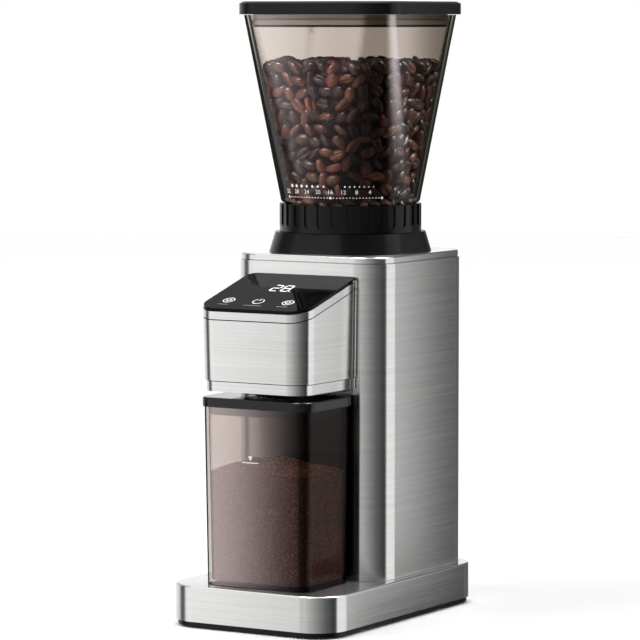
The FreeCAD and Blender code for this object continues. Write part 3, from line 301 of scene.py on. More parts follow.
@dataclass(frozen=True)
class BrushedSteel(Finish):
    """Stainless sheet brushed along the horizontal."""

    tint: Colour = (0.87, 0.865, 0.855)
    shade_of_grain: Colour = (0.58, 0.575, 0.565)
    roughness: float = 0.16
    grain: float = 0.07
    # Painted shade: the colour that seams and recesses take.
    seam: Colour = (0.03, 0.03, 0.03)
    seam_reach: float = 1.6 * MM
    fine_streak: Triple = (8.0, 8.0, 1000.0)
    broad_streak: Triple = (4.0, 4.0, 240.0)
    fine_share: float = 0.68
    broad_share: float = 0.32
    seam_range: Pair = (0.2, 0.7)
    brushing: float = 0.75
    brushing_turn: float = 0.25
    relief: float = 0.02

    def shade(self, graph: Graph) -> Signal:
        """Fine streaks, long in the horizontal, over faint broad ones, and painted shade in seams and
        recesses.

        Args:
            graph: Where it is built.

        Returns:
            The shader.
        """
        fine = graph.noise(graph.place(self.fine_streak), 1.0, 4.0, 0.65)
        broad = graph.noise(graph.place(self.broad_streak), 1.0, 3.0)
        sheet = graph.mix(self.fine_share * fine + self.broad_share * broad, self.shade_of_grain, self.tint)
        # Painted shade: ambient occlusion darkens the colour in seams and recesses.
        reach = {"Distance": self.seam_reach}
        open_air = graph.add("ShaderNodeAmbientOcclusion", {"samples": 6}, reach, "AO")
        colour = graph.mix(open_air.step(*self.seam_range), self.seam, sheet)
        return graph.surface(Base_Color=colour, Metallic=1.0, Roughness=self.roughness + self.grain * fine,
                             Anisotropic=self.brushing, Anisotropic_Rotation=self.brushing_turn,
                             Normal=graph.bump(fine, self.relief, FINE_RELIEF))


@dataclass(frozen=True)
class SatinPlastic(Finish):
    """Moulded plastic with the fine grain of an eroded mould and faint flow marks."""

    tint: Colour = (0.0035, 0.0035, 0.0037)
    roughness: float = 0.2
    grain: float = 0.08
    relief: float = 0.06
    mirror: float = 0.2
    grain_pitch: float = 2400.0
    flow_pitch: float = 22.0
    flow_lift: float = 1.5

    def shade(self, graph: Graph) -> Signal:
        """Even grain, with slow changes of gloss.

        Args:
            graph: Where it is built.

        Returns:
            The shader.
        """
        grain = graph.noise(graph.place(), self.grain_pitch)
        flow = graph.noise(graph.place(), self.flow_pitch)
        return graph.surface(Base_Color=graph.mix(flow, self.tint, scaled(self.tint, self.flow_lift)),
                             Roughness=self.roughness + self.grain * flow, Specular_IOR_Level=self.mirror,
                             Normal=graph.bump(grain, self.relief, FINE_RELIEF))


@dataclass(frozen=True)
class PanelGlass(Finish):
    """Black glass with the faint smears that touch leaves on it."""

    tint: Colour = (0.004, 0.004, 0.0045)
    smeared: Colour = (0.006, 0.006, 0.0065)
    smear_shape: Triple = (1.0, 0.5, 1.0)
    smear_pitch: float = 65.0
    smear_range: Pair = (0.5, 0.75)
    index: float = 1.16

    def shade(self, graph: Graph) -> Signal:
        """Clear gloss, dulled a little in soft patches.

        Args:
            graph: Where it is built.

        Returns:
            The shader.
        """
        smear = graph.noise(graph.place(self.smear_shape), self.smear_pitch, 3.0).step(*self.smear_range)
        return graph.surface(Base_Color=graph.mix(smear, self.tint, self.smeared),
                             Roughness=0.04 + 0.06 * smear, IOR=self.index)


@dataclass(frozen=True)
class SmokyPlastic(Finish):
    """Clear plastic with a warm smoky tint under a gloss, with painted shade in its front corner and at its
    rims.

    Painted shade also darkens it across the piece, a painted shadow darkens the container's back wall, and
    a painted highlight strip and a painted haze of gloss lie over it. Lengths across the piece are counted
    from its middle along a level line turned by the slant. A fade is a start, an end and the share of the
    painted shade tint past the end; the painted haze's share is before its start.
    """

    middle: float
    tint: Colour = (0.934, 0.905, 0.876)
    # Painted shade: the darker tint used in the front corner and by the fades.
    deep: Colour = (0.6, 0.565, 0.53)
    # Painted shade: the dark tint of the rims.
    rim: Colour = (0.12, 0.125, 0.1)
    # Painted shadow: the near black of the container's back wall.
    black: Colour = (0.03, 0.03, 0.03)
    sheen: Colour = (0.97, 0.92, 1.0)
    fades: tuple[Triple, ...] = ((-60.0 * MM, 0.0, 0.25), (30.0 * MM, 62.0 * MM, 0.6))
    # Painted reflection: a haze of gloss on the left of the forward faces.
    haze: Triple = (-70.0 * MM, -20.0 * MM, 0.085)
    haze_turn: Pair = (0.3, 0.8)
    veil: float = 0.012
    rim_gloss: float = 0.5
    rim_facing: Pair = (0.58, 0.8)
    # Painted highlight: a strip of gloss down the front right corner.
    glint: float = 0.32
    glint_heights: Pair = (275.0 * MM, 365.0 * MM)
    glint_turn: Pair = (0.16, 0.42)
    glint_side: Pair = (0.7, 0.95)
    back_wall: float = 1.0
    back_edge: float = 1.0 * MM
    back_fade: Pair = (-44.0 * MM, 4.0 * MM)
    corner_turn: Pair = (0.02, 0.21)
    corner_reach: float = 20.0 * MM
    outline_reach: Pair = (-60.0 * MM, -30.0 * MM)
    outline_turn: Pair = (0.004, 0.05)
    outline_facing: Pair = (0.45, 0.62)
    slant: float = 31.0
    flow_pitch: float = 30.0

    def shade(self, graph: Graph) -> Signal:
        """Clear layers with painted shade, mixed by the place across the piece and by how the wall turns,
        under a gloss with painted highlights.

        Args:
            graph: Where it is built.

        Returns:
            The shader.
        """
        turn_x, turn_y, _ = graph.split(graph.add("ShaderNodeNewGeometry", {}, {}, "Normal"))
        turn = (turn_x * turn_y) ** 2.0
        x, y, z = graph.split(graph.place())
        slant = math.radians(self.slant)
        across = math.cos(slant) * x + math.sin(slant) * (y - self.middle)
        front_right = (x - y + self.middle).step(0.0, self.corner_reach)
        # Painted shade: a darker tint round the front right corner.
        depth = turn.step(*self.corner_turn) * front_right
        # Painted shade: the tint darkens across the piece, towards its right and back.
        for start, end, share in self.fades:
            depth = depth + share * across.step(start, end)
        # Painted shadow: the back wall darkens to near black towards its right.
        behind = y.step(self.back_wall - self.back_edge, self.back_wall) * x.step(*self.back_fade)
        wall = graph.layer(depth, graph.clear(self.tint), graph.clear(self.deep))
        wall = graph.layer(behind, wall, graph.clear(self.black))
        facing = graph.add("ShaderNodeLayerWeight", {}, {"Blend": 0.5}, "Facing")
        flow = graph.noise(graph.place(), self.flow_pitch)
        gloss = graph.surface(Base_Color=graph.mix(flow, scaled(self.sheen, 0.95), self.sheen),
                              Metallic=1.0, Roughness=0.04 + 0.03 * flow)
        # Painted reflection: extra gloss on the left of the forward faces, fading across the piece.
        start, end, share = self.haze
        forward = 0.0 - turn_y
        # Painted highlight: extra gloss in a strip down the front right corner, fading towards the bottom.
        strip = forward.step(0.0, self.glint_turn[0]) * (1.0 - forward.step(*self.glint_turn))
        strip = strip * turn_x.step(*self.glint_side) * z.step(*self.glint_heights)
        painted_haze_share = share * (1.0 - across.step(start, end)) * forward.step(*self.haze_turn)
        shine = self.veil + painted_haze_share + self.rim_gloss * facing ** 4.0
        shown = graph.layer(shine + self.glint * strip, wall, gloss)
        # Painted shade: the rims turn dark where the wall is seen edge on, and so do the corners other than
        # the front right one.
        outline = (x - y + self.middle).step(*self.outline_reach) * (1.0 - front_right)
        outline = turn.step(*self.outline_turn) * facing.step(*self.outline_facing) * outline
        painted_rim_share = facing.step(*self.rim_facing) + outline
        return graph.layer(painted_rim_share, shown, graph.clear(self.rim))


@dataclass(frozen=True)
class RoastedBean(Finish):
    """Oily roasted coffee beans, each of its own brown, with paler chaff along the crease and painted shade
    inside it.
    """

    browns: Stops = (
        (0.0, (0.014, 0.005, 0.008)), (0.4, (0.065, 0.018, 0.017)), (0.66, (0.16, 0.044, 0.032)),
        (0.84, (0.32, 0.09, 0.052)), (1.0, (0.6, 0.17, 0.065)))
    chaff: Colour = (0.42, 0.19, 0.1)
    chaff_range: Pair = (0.1, 0.35)
    # Painted shade: the colour of the crease's floor.
    cleft: Colour = (0.007, 0.003, 0.003)
    cleft_range: Pair = (0.45, 0.75)
    mottle_pitch: float = 260.0

    def shade(self, graph: Graph) -> Signal:
        """One brown to a bean, mottled, with gloss from its oil.

        Args:
            graph: Where it is built.

        Returns:
            The shader.
        """
        tone = graph.attribute("tone")
        mottle = graph.noise(graph.place(), self.mottle_pitch, 3.0)
        brown = graph.ramp(0.75 * tone + 0.25 * mottle, self.browns)
        crease = graph.attribute("crease")
        edged = graph.mix(0.8 * crease.step(*self.chaff_range), brown, self.chaff)
        # Painted shade: the crease's floor is darker than any bean.
        colour = graph.mix(crease.step(*self.cleft_range), edged, self.cleft)
        return graph.surface(Base_Color=colour, Roughness=0.38 + 0.2 * mottle, Coat_Weight=0.7 + 0.3 * tone,
                             Coat_Roughness=0.12, Specular_IOR_Level=1.0,
                             Normal=graph.bump(mottle, 0.5, BEAN_RELIEF))


@dataclass(frozen=True)
class CoffeeGrounds(Finish):
    """Medium grounds: dark grains, reddish ones and pale flecks of chaff."""

    dark: Colour = (0.03, 0.01, 0.01)
    usual: Colour = (0.14, 0.046, 0.042)
    bright: Colour = (0.27, 0.105, 0.09)
    chaff: Colour = (0.75, 0.47, 0.4)
    grain_pitch: float = 1300.0
    fine_pitch: float = 1600.0

    def shade(self, graph: Graph) -> Signal:
        """Grains of their own colour from cells less than a millimetre wide.

        Args:
            graph: Where it is built.

        Returns:
            The shader.
        """
        grains = {"Vector": graph.place(), "Scale": self.grain_pitch}
        cell = graph.add("ShaderNodeTexVoronoi", {}, grains, "Color")
        pick = graph.add("ShaderNodeSeparateColor", {}, {0: cell}, 0)
        fine = graph.noise(graph.place(), self.fine_pitch)
        browns = ((0.0, self.dark), (0.5, self.usual), (0.85, self.bright), (1.0, self.chaff))
        brown = graph.ramp(0.75 * pick + 0.25 * fine, browns)
        return graph.surface(Base_Color=brown, Roughness=0.75 + 0.2 * fine,
                             Normal=graph.bump(pick + fine, 0.5, GROUNDS_RELIEF))


@dataclass(frozen=True)
class WornMetal(Finish):
    """Plain metal of an inner piece, with a cast, turned or rolled grain."""

    tint: Colour = (0.6, 0.6, 0.6)
    roughness: float = 0.35
    pitch: float = 700.0
    relief: float = 0.1
    dust_pitch: float = 45.0
    dust_range: Pair = (0.45, 0.8)

    def shade(self, graph: Graph) -> Signal:
        """Mottled metal, dulled in patches by oil and coffee dust.

        Args:
            graph: Where it is built.

        Returns:
            The shader.
        """
        grain = graph.noise(graph.place(), self.pitch, 3.0)
        dust = graph.noise(graph.place(), self.dust_pitch, 3.0).step(*self.dust_range)
        dull = scaled(self.tint, 0.7)
        return graph.surface(Base_Color=graph.mix(0.5 * grain + 0.5 * dust, self.tint, dull), Metallic=1.0,
                             Roughness=self.roughness + 0.2 * dust,
                             Normal=graph.bump(grain, self.relief, METAL_RELIEF))


@dataclass(frozen=True)
class BoardResin(Finish):
    """Green circuit board with its tracks under the lacquer."""

    tint: Colour = (0.012, 0.075, 0.035)
    track_pitch: float = 60.0

    def shade(self, graph: Graph) -> Signal:
        """Square patches of track, a little paler than the board.

        Args:
            graph: Where it is built.

        Returns:
            The shader.
        """
        rows = {"Vector": graph.place(), "Scale": self.track_pitch}
        tracks = graph.add("ShaderNodeTexBrick", {}, rows, "Fac")
        paler = scaled(self.tint, 2.0)
        return graph.surface(Base_Color=graph.mix(tracks, self.tint, paler), Roughness=0.3 + 0.1 * tracks)


@dataclass(frozen=True)
class PaleFloor(Finish):
    """Matt white paper."""

    tint: Colour = (0.93, 0.93, 0.93)
    fibre_pitch: float = 900.0

    def shade(self, graph: Graph) -> Signal:
        """Paper with a fibre that hardly shows.

        Args:
            graph: Where it is built.

        Returns:
            The shader.
        """
        fibre = graph.noise(graph.place(), self.fibre_pitch)
        paper = graph.mix(fibre, self.tint, scaled(self.tint, 1.02))
        return graph.surface(Base_Color=paper, Roughness=0.9, Specular_IOR_Level=0.0)


@dataclass(frozen=True)
class LightCard(Finish):
    """A glowing upright studio card whose light changes along one level axis."""

    axis: int
    still: float
    low: float
    high: float
    stops: Stops

    @property
    def ends(self) -> Pair:
        """Where the card starts and ends along its axis."""
        return self.stops[0][0], self.stops[-1][0]

    def shade(self, graph: Graph) -> Signal:
        """Glow by the place along the axis.

        Args:
            graph: Where it is built.

        Returns:
            The shader.
        """
        start, end = self.ends
        share = (graph.split(graph.place())[self.axis] - start) / (end - start)
        stops = tuple(((spot - start) / (end - start), glow) for spot, glow in self.stops)
        return graph.surface(Base_Color=(0.0, 0.0, 0.0), Specular_IOR_Level=0.0,
                             Emission_Color=graph.ramp(share, stops), Emission_Strength=1.0)


@dataclass(frozen=True)
class PrintInk(Finish):
    """Screen-printed ink, or a lit sign when it glows."""

    tint: Colour = (0.85, 0.85, 0.84)
    glow: float = 0.0
    mesh_pitch: float = 3000.0

    def shade(self, graph: Graph) -> Signal:
        """Ink with the faint unevenness of a screen print.

        Args:
            graph: Where it is built.

        Returns:
            The shader.
        """
        mesh = graph.noise(graph.place(), self.mesh_pitch, 1.0)
        thin = scaled(self.tint, 0.9)
        return graph.surface(Base_Color=graph.mix(mesh, self.tint, thin), Roughness=0.45 + 0.1 * mesh,
                             Emission_Color=self.tint, Emission_Strength=self.glow)


class Slot(Enum):
    """The material slots of the record."""

    STEEL = "brushed_steel"
    BLACK = "black_plastic"
    GLASS = "panel_glass"
    SMOKY = "smoky_clear"
    RUBBER = "rubber"
    BEANS = "coffee_beans"
    GROUNDS = "ground_coffee"
    INNER = "inner_plastic"
    CAST = "die_cast"
    BURR = "burr_steel"
    BRIGHT = "bright_steel"
    GEAR = "gear_plastic"
    BRASS = "brass"
    MOTOR = "motor_steel"
    BOARD = "circuit_board"


HOPPER_MIDDLE = 31.5 * MM
BIN_MIDDLE = -57.5 * MM
BIN_BACK = -32.5 * MM
FINISHES: dict[Slot, Finish] = {
    Slot.STEEL: BrushedSteel("brushed_sheet"),
    Slot.BLACK: SatinPlastic("black_moulding"),
    Slot.GLASS: PanelGlass("black_glass"),
    Slot.SMOKY: SmokyPlastic("smoky_wall", HOPPER_MIDDLE),
    Slot.RUBBER: SatinPlastic("foot_rubber", (0.008, 0.008, 0.008), 0.6, 0.15, 0.3),
    Slot.BEANS: RoastedBean("roasted_beans"),
    Slot.GROUNDS: CoffeeGrounds("loose_grounds"),
    Slot.INNER: SatinPlastic("inner_moulding", (0.03, 0.03, 0.032), 0.5),
    Slot.CAST: WornMetal("cast_alloy", (0.55, 0.55, 0.56), 0.42, 500.0, 0.25),
    Slot.BURR: WornMetal("hardened_steel", (0.32, 0.32, 0.33), 0.3, 1500.0, 0.1),
    Slot.BRIGHT: WornMetal("ground_steel", (0.7, 0.7, 0.69), 0.18, 2000.0, 0.05),
    Slot.GEAR: SatinPlastic("acetal", (0.7, 0.68, 0.62), 0.35, 0.1, 0.05),
    Slot.BRASS: WornMetal("turned_brass", (0.75, 0.52, 0.22), 0.25, 1500.0, 0.08),
    Slot.MOTOR: WornMetal("plated_steel", (0.42, 0.42, 0.45), 0.32, 300.0, 0.05),
    Slot.BOARD: BoardResin("board_lacquer"),
}
# The container's wall, with painted shade across it, a painted shadow on its back wall and a painted haze
# on its left.
BIN_WALL_FINISH = SmokyPlastic("smoky_bin_wall", BIN_MIDDLE, (0.79, 0.76, 0.735), (0.45, 0.425, 0.4),
                               sheen=(1.0, 0.87, 0.87), fades=((-40.0 * MM, 40.0 * MM, 0.45),),
                               haze=(-50.0 * MM, 15.0 * MM, 0.24), rim_gloss=0.1, glint=0.0,
                               back_wall=BIN_BACK)
GLOSS_BLACK = SatinPlastic("gloss_black", (0.0035, 0.0035, 0.0037), 0.05, 0.04, 0.02, 0.35)
SILICONE = SatinPlastic("pale_silicone", (0.34, 0.32, 0.295), 0.35, 0.1, 0.05, 0.5)
# Painted light: the crumbs on top of the heap are paler and more orange, as if lit from above.
LIT_TOP_GROUNDS = CoffeeGrounds("fresh_grounds", (0.2, 0.055, 0.03), (0.8, 0.25, 0.13), (0.95, 0.42, 0.22),
                              (0.95, 0.65, 0.42))
INK = PrintInk("white_ink")
SIGN = PrintInk("lit_sign", (0.9, 0.92, 0.95), 0.6)
FAINT_SIGN = PrintInk("faint_sign", (0.35, 0.36, 0.37), 0.05)


def dress(mesh: bpy.types.Mesh, finish: Finish) -> None:
    """Gives a mesh one finish all over."""
    mesh.materials.clear()
    mesh.materials.append(finish.material())


def add_piece(name: str, mesh: bpy.types.Mesh, body: str, finish: Finish,
              stands_for: tuple[str, ...] = ()) -> None:
    """Adds a finished piece to the object.

    Args:
        name: The piece's name.
        mesh: Its mesh, already in its place.
        body: The body that it rides on.
        finish: Its finish.
        stands_for: The CAD nodes that it replaces.
    """
    piece = new_object(name, mesh)
    dress(mesh, finish)
    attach(piece, body)
    if stands_for:
        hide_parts(*stands_for)
    LOG.info("%s rides on %s with %d faces", name, body, len(mesh.polygons))


@dataclass(frozen=True)
class Plan:
    """A rounded rectangle in plan, whose rings all have the same number of points."""

    centre_y: float
    half_x: float
    half_y: float
    corner: float
    side_steps: int = 14
    corner_steps: int = 8
    least_corner: float = 0.5 * MM

    def inset(self, by: float) -> "Plan":
        """Returns the plan moved in all round."""
        return replace(self, half_x=self.half_x - by, half_y=self.half_y - by,
                       corner=max(self.corner - by, self.least_corner))

    def ring(self, z: float) -> list[Vector]:
        """Draws the plan at a height.

        Args:
            z: The height.

        Returns:
            Its points, counterclockwise from the front right corner.
        """
        corners = []
        for side_x, side_y, start in ((1, -1, -90), (1, 1, 0), (-1, 1, 90), (-1, -1, 180)):
            middle = Vector((side_x * (self.half_x - self.corner),
                             self.centre_y + side_y * (self.half_y - self.corner), z))
            turns = [math.radians(start + 90.0 * step / self.corner_steps)
                     for step in range(self.corner_steps + 1)]
            corners.append([middle + self.corner * Vector((math.cos(turn), math.sin(turn), 0.0))
                            for turn in turns])
        points = []
        for corner, following in zip(corners, corners[1:] + corners[:1]):
            points += corner
            points += [corner[-1].lerp(following[0], step / self.side_steps)
                       for step in range(1, self.side_steps)]
        return points

    def pull_in(self, point: Vector) -> Vector:
        """Keeps a point inside the plan.

        Args:
            point: The point.

        Returns:
            The point itself, or the nearest place inside the plan.
        """
        local_x, local_y = point.x, point.y - self.centre_y
        core_x, core_y = self.half_x - self.corner, self.half_y - self.corner
        over = Vector((max(abs(local_x) - core_x, 0.0), max(abs(local_y) - core_y, 0.0)))
        if over.length <= self.corner:
            return point
        over *= self.corner / over.length
        x = math.copysign(min(abs(local_x), core_x) + over.x, local_x)
        y = math.copysign(min(abs(local_y), core_y) + over.y, local_y)
        return Vector((x, y + self.centre_y, point.z))


def skin(work: bmesh.types.BMesh, rows: list[list[bmesh.types.BMVert]], tips: list[Vector]) -> None:
    """Joins rows of vertices into a tube, closes its ends and turns its faces outwards.

    Args:
        work: The shape that holds the vertices.
        rows: The rows, all of one length.
        tips: The points that the first and the last row close on, or none.
    """
    count = len(rows[0])
    for low, high in zip(rows, rows[1:]):
        for k in range(count):
            work.faces.new((low[k], low[(k + 1) % count], high[(k + 1) % count], high[k]))
    for row, tip in zip((rows[0], rows[-1]), tips):
        middle = work.verts.new(tip)
        for k in range(count):
            work.faces.new((middle, row[k], row[(k + 1) % count]))
    bmesh.ops.recalc_face_normals(work, faces=work.faces)


def loft(name: str, rings: list[list[Vector]], band: bool = False) -> bpy.types.Mesh:
    """Joins rings of equal length into a closed mesh.

    Args:
        name: The mesh's name.
        rings: The rings, from the lower end to the upper one.
        band: Whether the last ring joins the first one, as in a sleeve; else each end closes on its middle.

    Returns:
        The mesh, smooth all over, or flat in a band.
    """
    work = bmesh.new()
    rows = [[work.verts.new(point) for point in ring] for ring in rings]
    if band:
        skin(work, rows + rows[:1], [])
    else:
        skin(work, rows, [sum(ring, Vector()) / len(ring) for ring in (rings[0], rings[-1])])
    for face in work.faces:
        face.smooth = not band
    return to_mesh(work, name)


class Pattern:
    """A Geometry Nodes tree with named inputs that turns one mesh into another."""

    def __init__(self, name: str) -> None:
        """Starts an empty tree.

        Args:
            name: The tree's name.
        """
        self.tree = bpy.data.node_groups.new(name, "GeometryNodeTree")
        self.graph = Graph(self.tree)
        self.identifiers: dict[str, str] = {}
        self.tree.interface.new_socket("Result", in_out="OUTPUT", socket_type="NodeSocketGeometry")

    def input(self, name: str, kind: str) -> Signal:
        """Adds a named input.

        Args:
            name: The input's name.
            kind: Its socket type.

        Returns:
            The input, for use in the tree.
        """
        socket = self.tree.interface.new_socket(name, in_out="INPUT", socket_type=kind)
        self.identifiers[name] = socket.identifier
        return self.graph.add("NodeGroupInput", {}, {}, name)

    def close(self, shapes: Signal, finish: Signal) -> None:
        """Ends the tree.

        Args:
            shapes: The instances to make real.
            finish: Their material.
        """
        real = self.graph.add("GeometryNodeRealizeInstances", {}, {"Geometry": shapes})
        dressed = self.graph.add("GeometryNodeSetMaterial", {}, {"Geometry": real, "Material": finish})
        self.graph.add("NodeGroupOutput", {}, {"Result": dressed})

    def run(self, mesh: bpy.types.Mesh, values: dict) -> bpy.types.Mesh:
        """Runs the tree.

        Args:
            mesh: The mesh that it starts from, which is removed.
            values: The inputs by name.

        Returns:
            The result as a plain mesh.
        """
        carrier = new_object(self.tree.name, mesh)
        modifier = carrier.modifiers.new(self.tree.name, "NODES")
        modifier.node_group = self.tree
        for name, value in values.items():
            modifier[self.identifiers[name]] = value
        result = baked(carrier)
        carrier.modifiers.remove(modifier)
        bpy.data.objects.remove(carrier)
        bpy.data.meshes.remove(mesh)
        return result


def scatter_pattern(name: str) -> Pattern:
    """Builds a tree that strews one shape over a surface, each copy turned, sized and toned at random.

    Args:
        name: The tree's name.

    Returns:
        The tree.
    """
    pattern = Pattern(name)
    graph = pattern.graph
    bed = pattern.input("Bed", "NodeSocketGeometry")
    shape = pattern.input("Shape", "NodeSocketObject")
    spacing = pattern.input("Spacing", "NodeSocketFloat")
    roll = pattern.input("Roll", "NodeSocketFloat")
    tilt = pattern.input("Tilt", "NodeSocketFloat")
    smallest = pattern.input("Smallest", "NodeSocketFloat")
    seed = pattern.input("Seed", "NodeSocketInt")
    finish = pattern.input("Finish", "NodeSocketMaterial")
    places = {"Mesh": bed, "Distance Min": spacing, "Density Max": 1.0e6, "Seed": seed}
    points = graph.add("GeometryNodeDistributePointsOnFaces", {"distribute_method": "POISSON"}, places)
    facing = Signal(graph, points.socket.node.outputs["Rotation"])
    copy = graph.add("GeometryNodeObjectInfo", {}, {"Object": shape}, "Geometry")
    size = graph.random("FLOAT", smallest, 1.0, seed + 1)
    laid = graph.add("GeometryNodeInstanceOnPoints", {},
                     {"Points": points, "Instance": copy, "Rotation": facing, "Scale": size})
    low = graph.add("ShaderNodeCombineXYZ", {}, {0: 0.0 - roll, 1: 0.0 - tilt, 2: 0.0})
    high = graph.add("ShaderNodeCombineXYZ", {}, {0: roll, 1: tilt, 2: 2.0 * math.pi})
    turn = graph.random("FLOAT_VECTOR", low, high, seed + 2)
    turned = graph.add("GeometryNodeRotateInstances", {}, {"Instances": laid, "Rotation": turn})
    tone = graph.random("FLOAT", 0.0, 1.0, seed + 3)
    toned = graph.add("GeometryNodeStoreNamedAttribute", {"data_type": "FLOAT", "domain": "INSTANCE"},
                      {"Geometry": turned, "Name": "tone", "Value": tone})
    pattern.close(toned, finish)
    return pattern


@dataclass
class LooseBeans:
    """The beans in the hopper: single beans against the wall and on top, round a dark core."""

    foot_radius: float = 44.4 * MM
    corner: float = 18.5 * MM
    heel_height: float = 3.4 * MM
    neck_depth: float = 8.0 * MM
    wall: float = 2.5 * MM
    clearance: float = 0.3 * MM
    length: float = 12.4 * MM
    width: float = 8.8 * MM
    height: float = 5.8 * MM
    spacing: float = 7.4 * MM
    slices: int = 6
    groove: float = 14.0
    crease_depth: float = 0.36
    dome: float = 0.62
    flat: float = 0.38
    fullness: float = 0.75
    smallest: float = 0.82
    layers: tuple[Pair, ...] = ((0.45, 0.4), (1.15, 1.2))
    core_depth: float = 1.3
    unevenness: float = 2.5 * MM
    side_rows: int = 12
    top_rows: int = 5
    top_step: float = 0.17
    seed: int = 11

    def __post_init__(self) -> None:
        """Reads the hopper's box once."""
        self.low, self.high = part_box("hopper")

    def plan(self, z: float, inset: float) -> Plan:
        """Gives the hopper's section.

        Args:
            z: The height.
            inset: How far inside the hopper's outer face.

        Returns:
            The section, which grows from a circle into a rounded square.
        """
        low, high = self.low, self.high
        heel = low.z + self.neck_depth + self.heel_height
        share = max((z - heel) / (high.z - heel), 0.0)
        half = self.foot_radius + share * ((high.x - low.x) / 2 - self.foot_radius)
        corner = self.foot_radius + share * (self.corner - self.foot_radius)
        return Plan((low.y + high.y) / 2, half, half, corner).inset(inset)

    def bed(self, name: str, inset: float, drop: float) -> bpy.types.Mesh:
        """Makes a closed form inside the hopper.

        Args:
            name: The mesh's name.
            inset: How far inside the hopper's outer face it stays.
            drop: How far it stays below the beans' level.

        Returns:
            The form, with a slightly uneven top.
        """
        low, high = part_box("bean_fill")
        start, level = low.z + drop, high.z - drop
        heights = [start + (level - start) * k / self.side_rows for k in range(self.side_rows + 1)]
        rings = [self.plan(z, inset).ring(z) for z in heights]
        top = self.plan(level, inset)
        for k in range(1, self.top_rows + 1):
            ring = top.inset(top.half_x * self.top_step * k).ring(level)
            rings.append([point + Vector((0.0, 0.0, self.wave(point))) for point in ring])
        return loft(name, rings)

    def wave(self, point: Vector) -> float:
        """Returns how far the beans' level rises or falls at a place in plan."""
        return self.unevenness * math.sin(170.0 * point.x + 0.4) * math.cos(140.0 * point.y - 0.7)

    def bean(self) -> bpy.types.Object:
        """Models one bean: domed above, flat below, with a crease along the flat side.

        Returns:
            The bean, lying along X, hidden and not a piece by itself.
        """
        turns = [-90.0, self.groove - 90.0] + [-45.0 + 45.0 * k for k in range(7)] + [270.0 - self.groove]
        half = self.length / 2
        work = bmesh.new()
        crease = work.verts.layers.float.new("crease")
        rows = []
        for k in range(1, self.slices):
            swell = math.pi * k / self.slices
            radius = math.sin(swell) ** self.fullness
            row = []
            for j, turn in enumerate(turns):
                angle = math.radians(turn)
                lift = math.sin(angle)
                z = radius * self.height * (self.dome * lift if lift > 0 else self.flat * lift)
                if j == 0:
                    z += self.crease_depth * self.height * radius
                y = math.cos(angle) * radius * self.width / 2
                vertex = work.verts.new((-math.cos(swell) * self.length / 2, y, z))
                vertex[crease] = 1.0 if j == 0 else 0.0
                row.append(vertex)
            rows.append(row)
        skin(work, rows, [Vector((-half, 0.0, 0.0)), Vector((half, 0.0, 0.0))])
        for face in work.faces:
            face.smooth = True
        return bpy.data.objects.new("bean", to_mesh(work, "bean"))

    def build(self) -> None:
        """Strews two layers of beans, seats them inside the wall and adds the core."""
        finish = FINISHES[Slot.BEANS]
        bean = self.bean()
        pattern = scatter_pattern("bean_scatter")
        inner_face = self.wall + self.clearance
        merged = bmesh.new()
        for layer, (share, tilt) in enumerate(self.layers):
            depth = share * self.width
            strewn = pattern.run(self.bed("bean_bed", inner_face + depth, depth), {
                "Shape": bean, "Spacing": self.spacing, "Roll": math.pi, "Tilt": tilt,
                "Smallest": self.smallest, "Seed": self.seed + 10 * layer, "Finish": finish.material()})
            merged.from_mesh(strewn)
            bpy.data.meshes.remove(strewn)
        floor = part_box("bean_fill")[0].z
        for vertex in merged.verts:
            vertex.co.z = max(vertex.co.z, floor)
            vertex.co = self.plan(vertex.co.z, inner_face).pull_in(vertex.co)
        bpy.data.objects.remove(bean)
        add_piece("beans", to_mesh(merged, "beans"), "hopper", finish, ("bean_fill",))
        depth = self.core_depth * self.width
        core = self.bed("bean_core", inner_face + depth, depth)
        add_piece("bean_core", core, "hopper", finish)


@dataclass
class LidSleeve:
    """The pale silicone sleeve round the lid's skirt, above its seal."""

    thickness: float = 0.8 * MM
    clearance: float = 0.2 * MM
    corner: float = 14.5 * MM
    seal_overhang: float = 1.6 * MM

    def build(self) -> None:
        """Lays a band round the skirt between the seal and the lid."""
        seal_low, seal_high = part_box("lid_seal")
        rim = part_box("hopper")[1].z
        half = (seal_high.x - seal_low.x) / 2 - self.seal_overhang
        outer = Plan((seal_low.y + seal_high.y) / 2, half, half, self.corner)
        inner = outer.inset(self.thickness)
        low, high = seal_high.z + self.clearance, rim + self.clearance
        rings = [inner.ring(low), outer.ring(low), outer.ring(high), inner.ring(high)]
        mesh = loft("lid_sleeve", rings, True)
        add_piece("lid_sleeve", mesh, "hopper_lid", SILICONE)


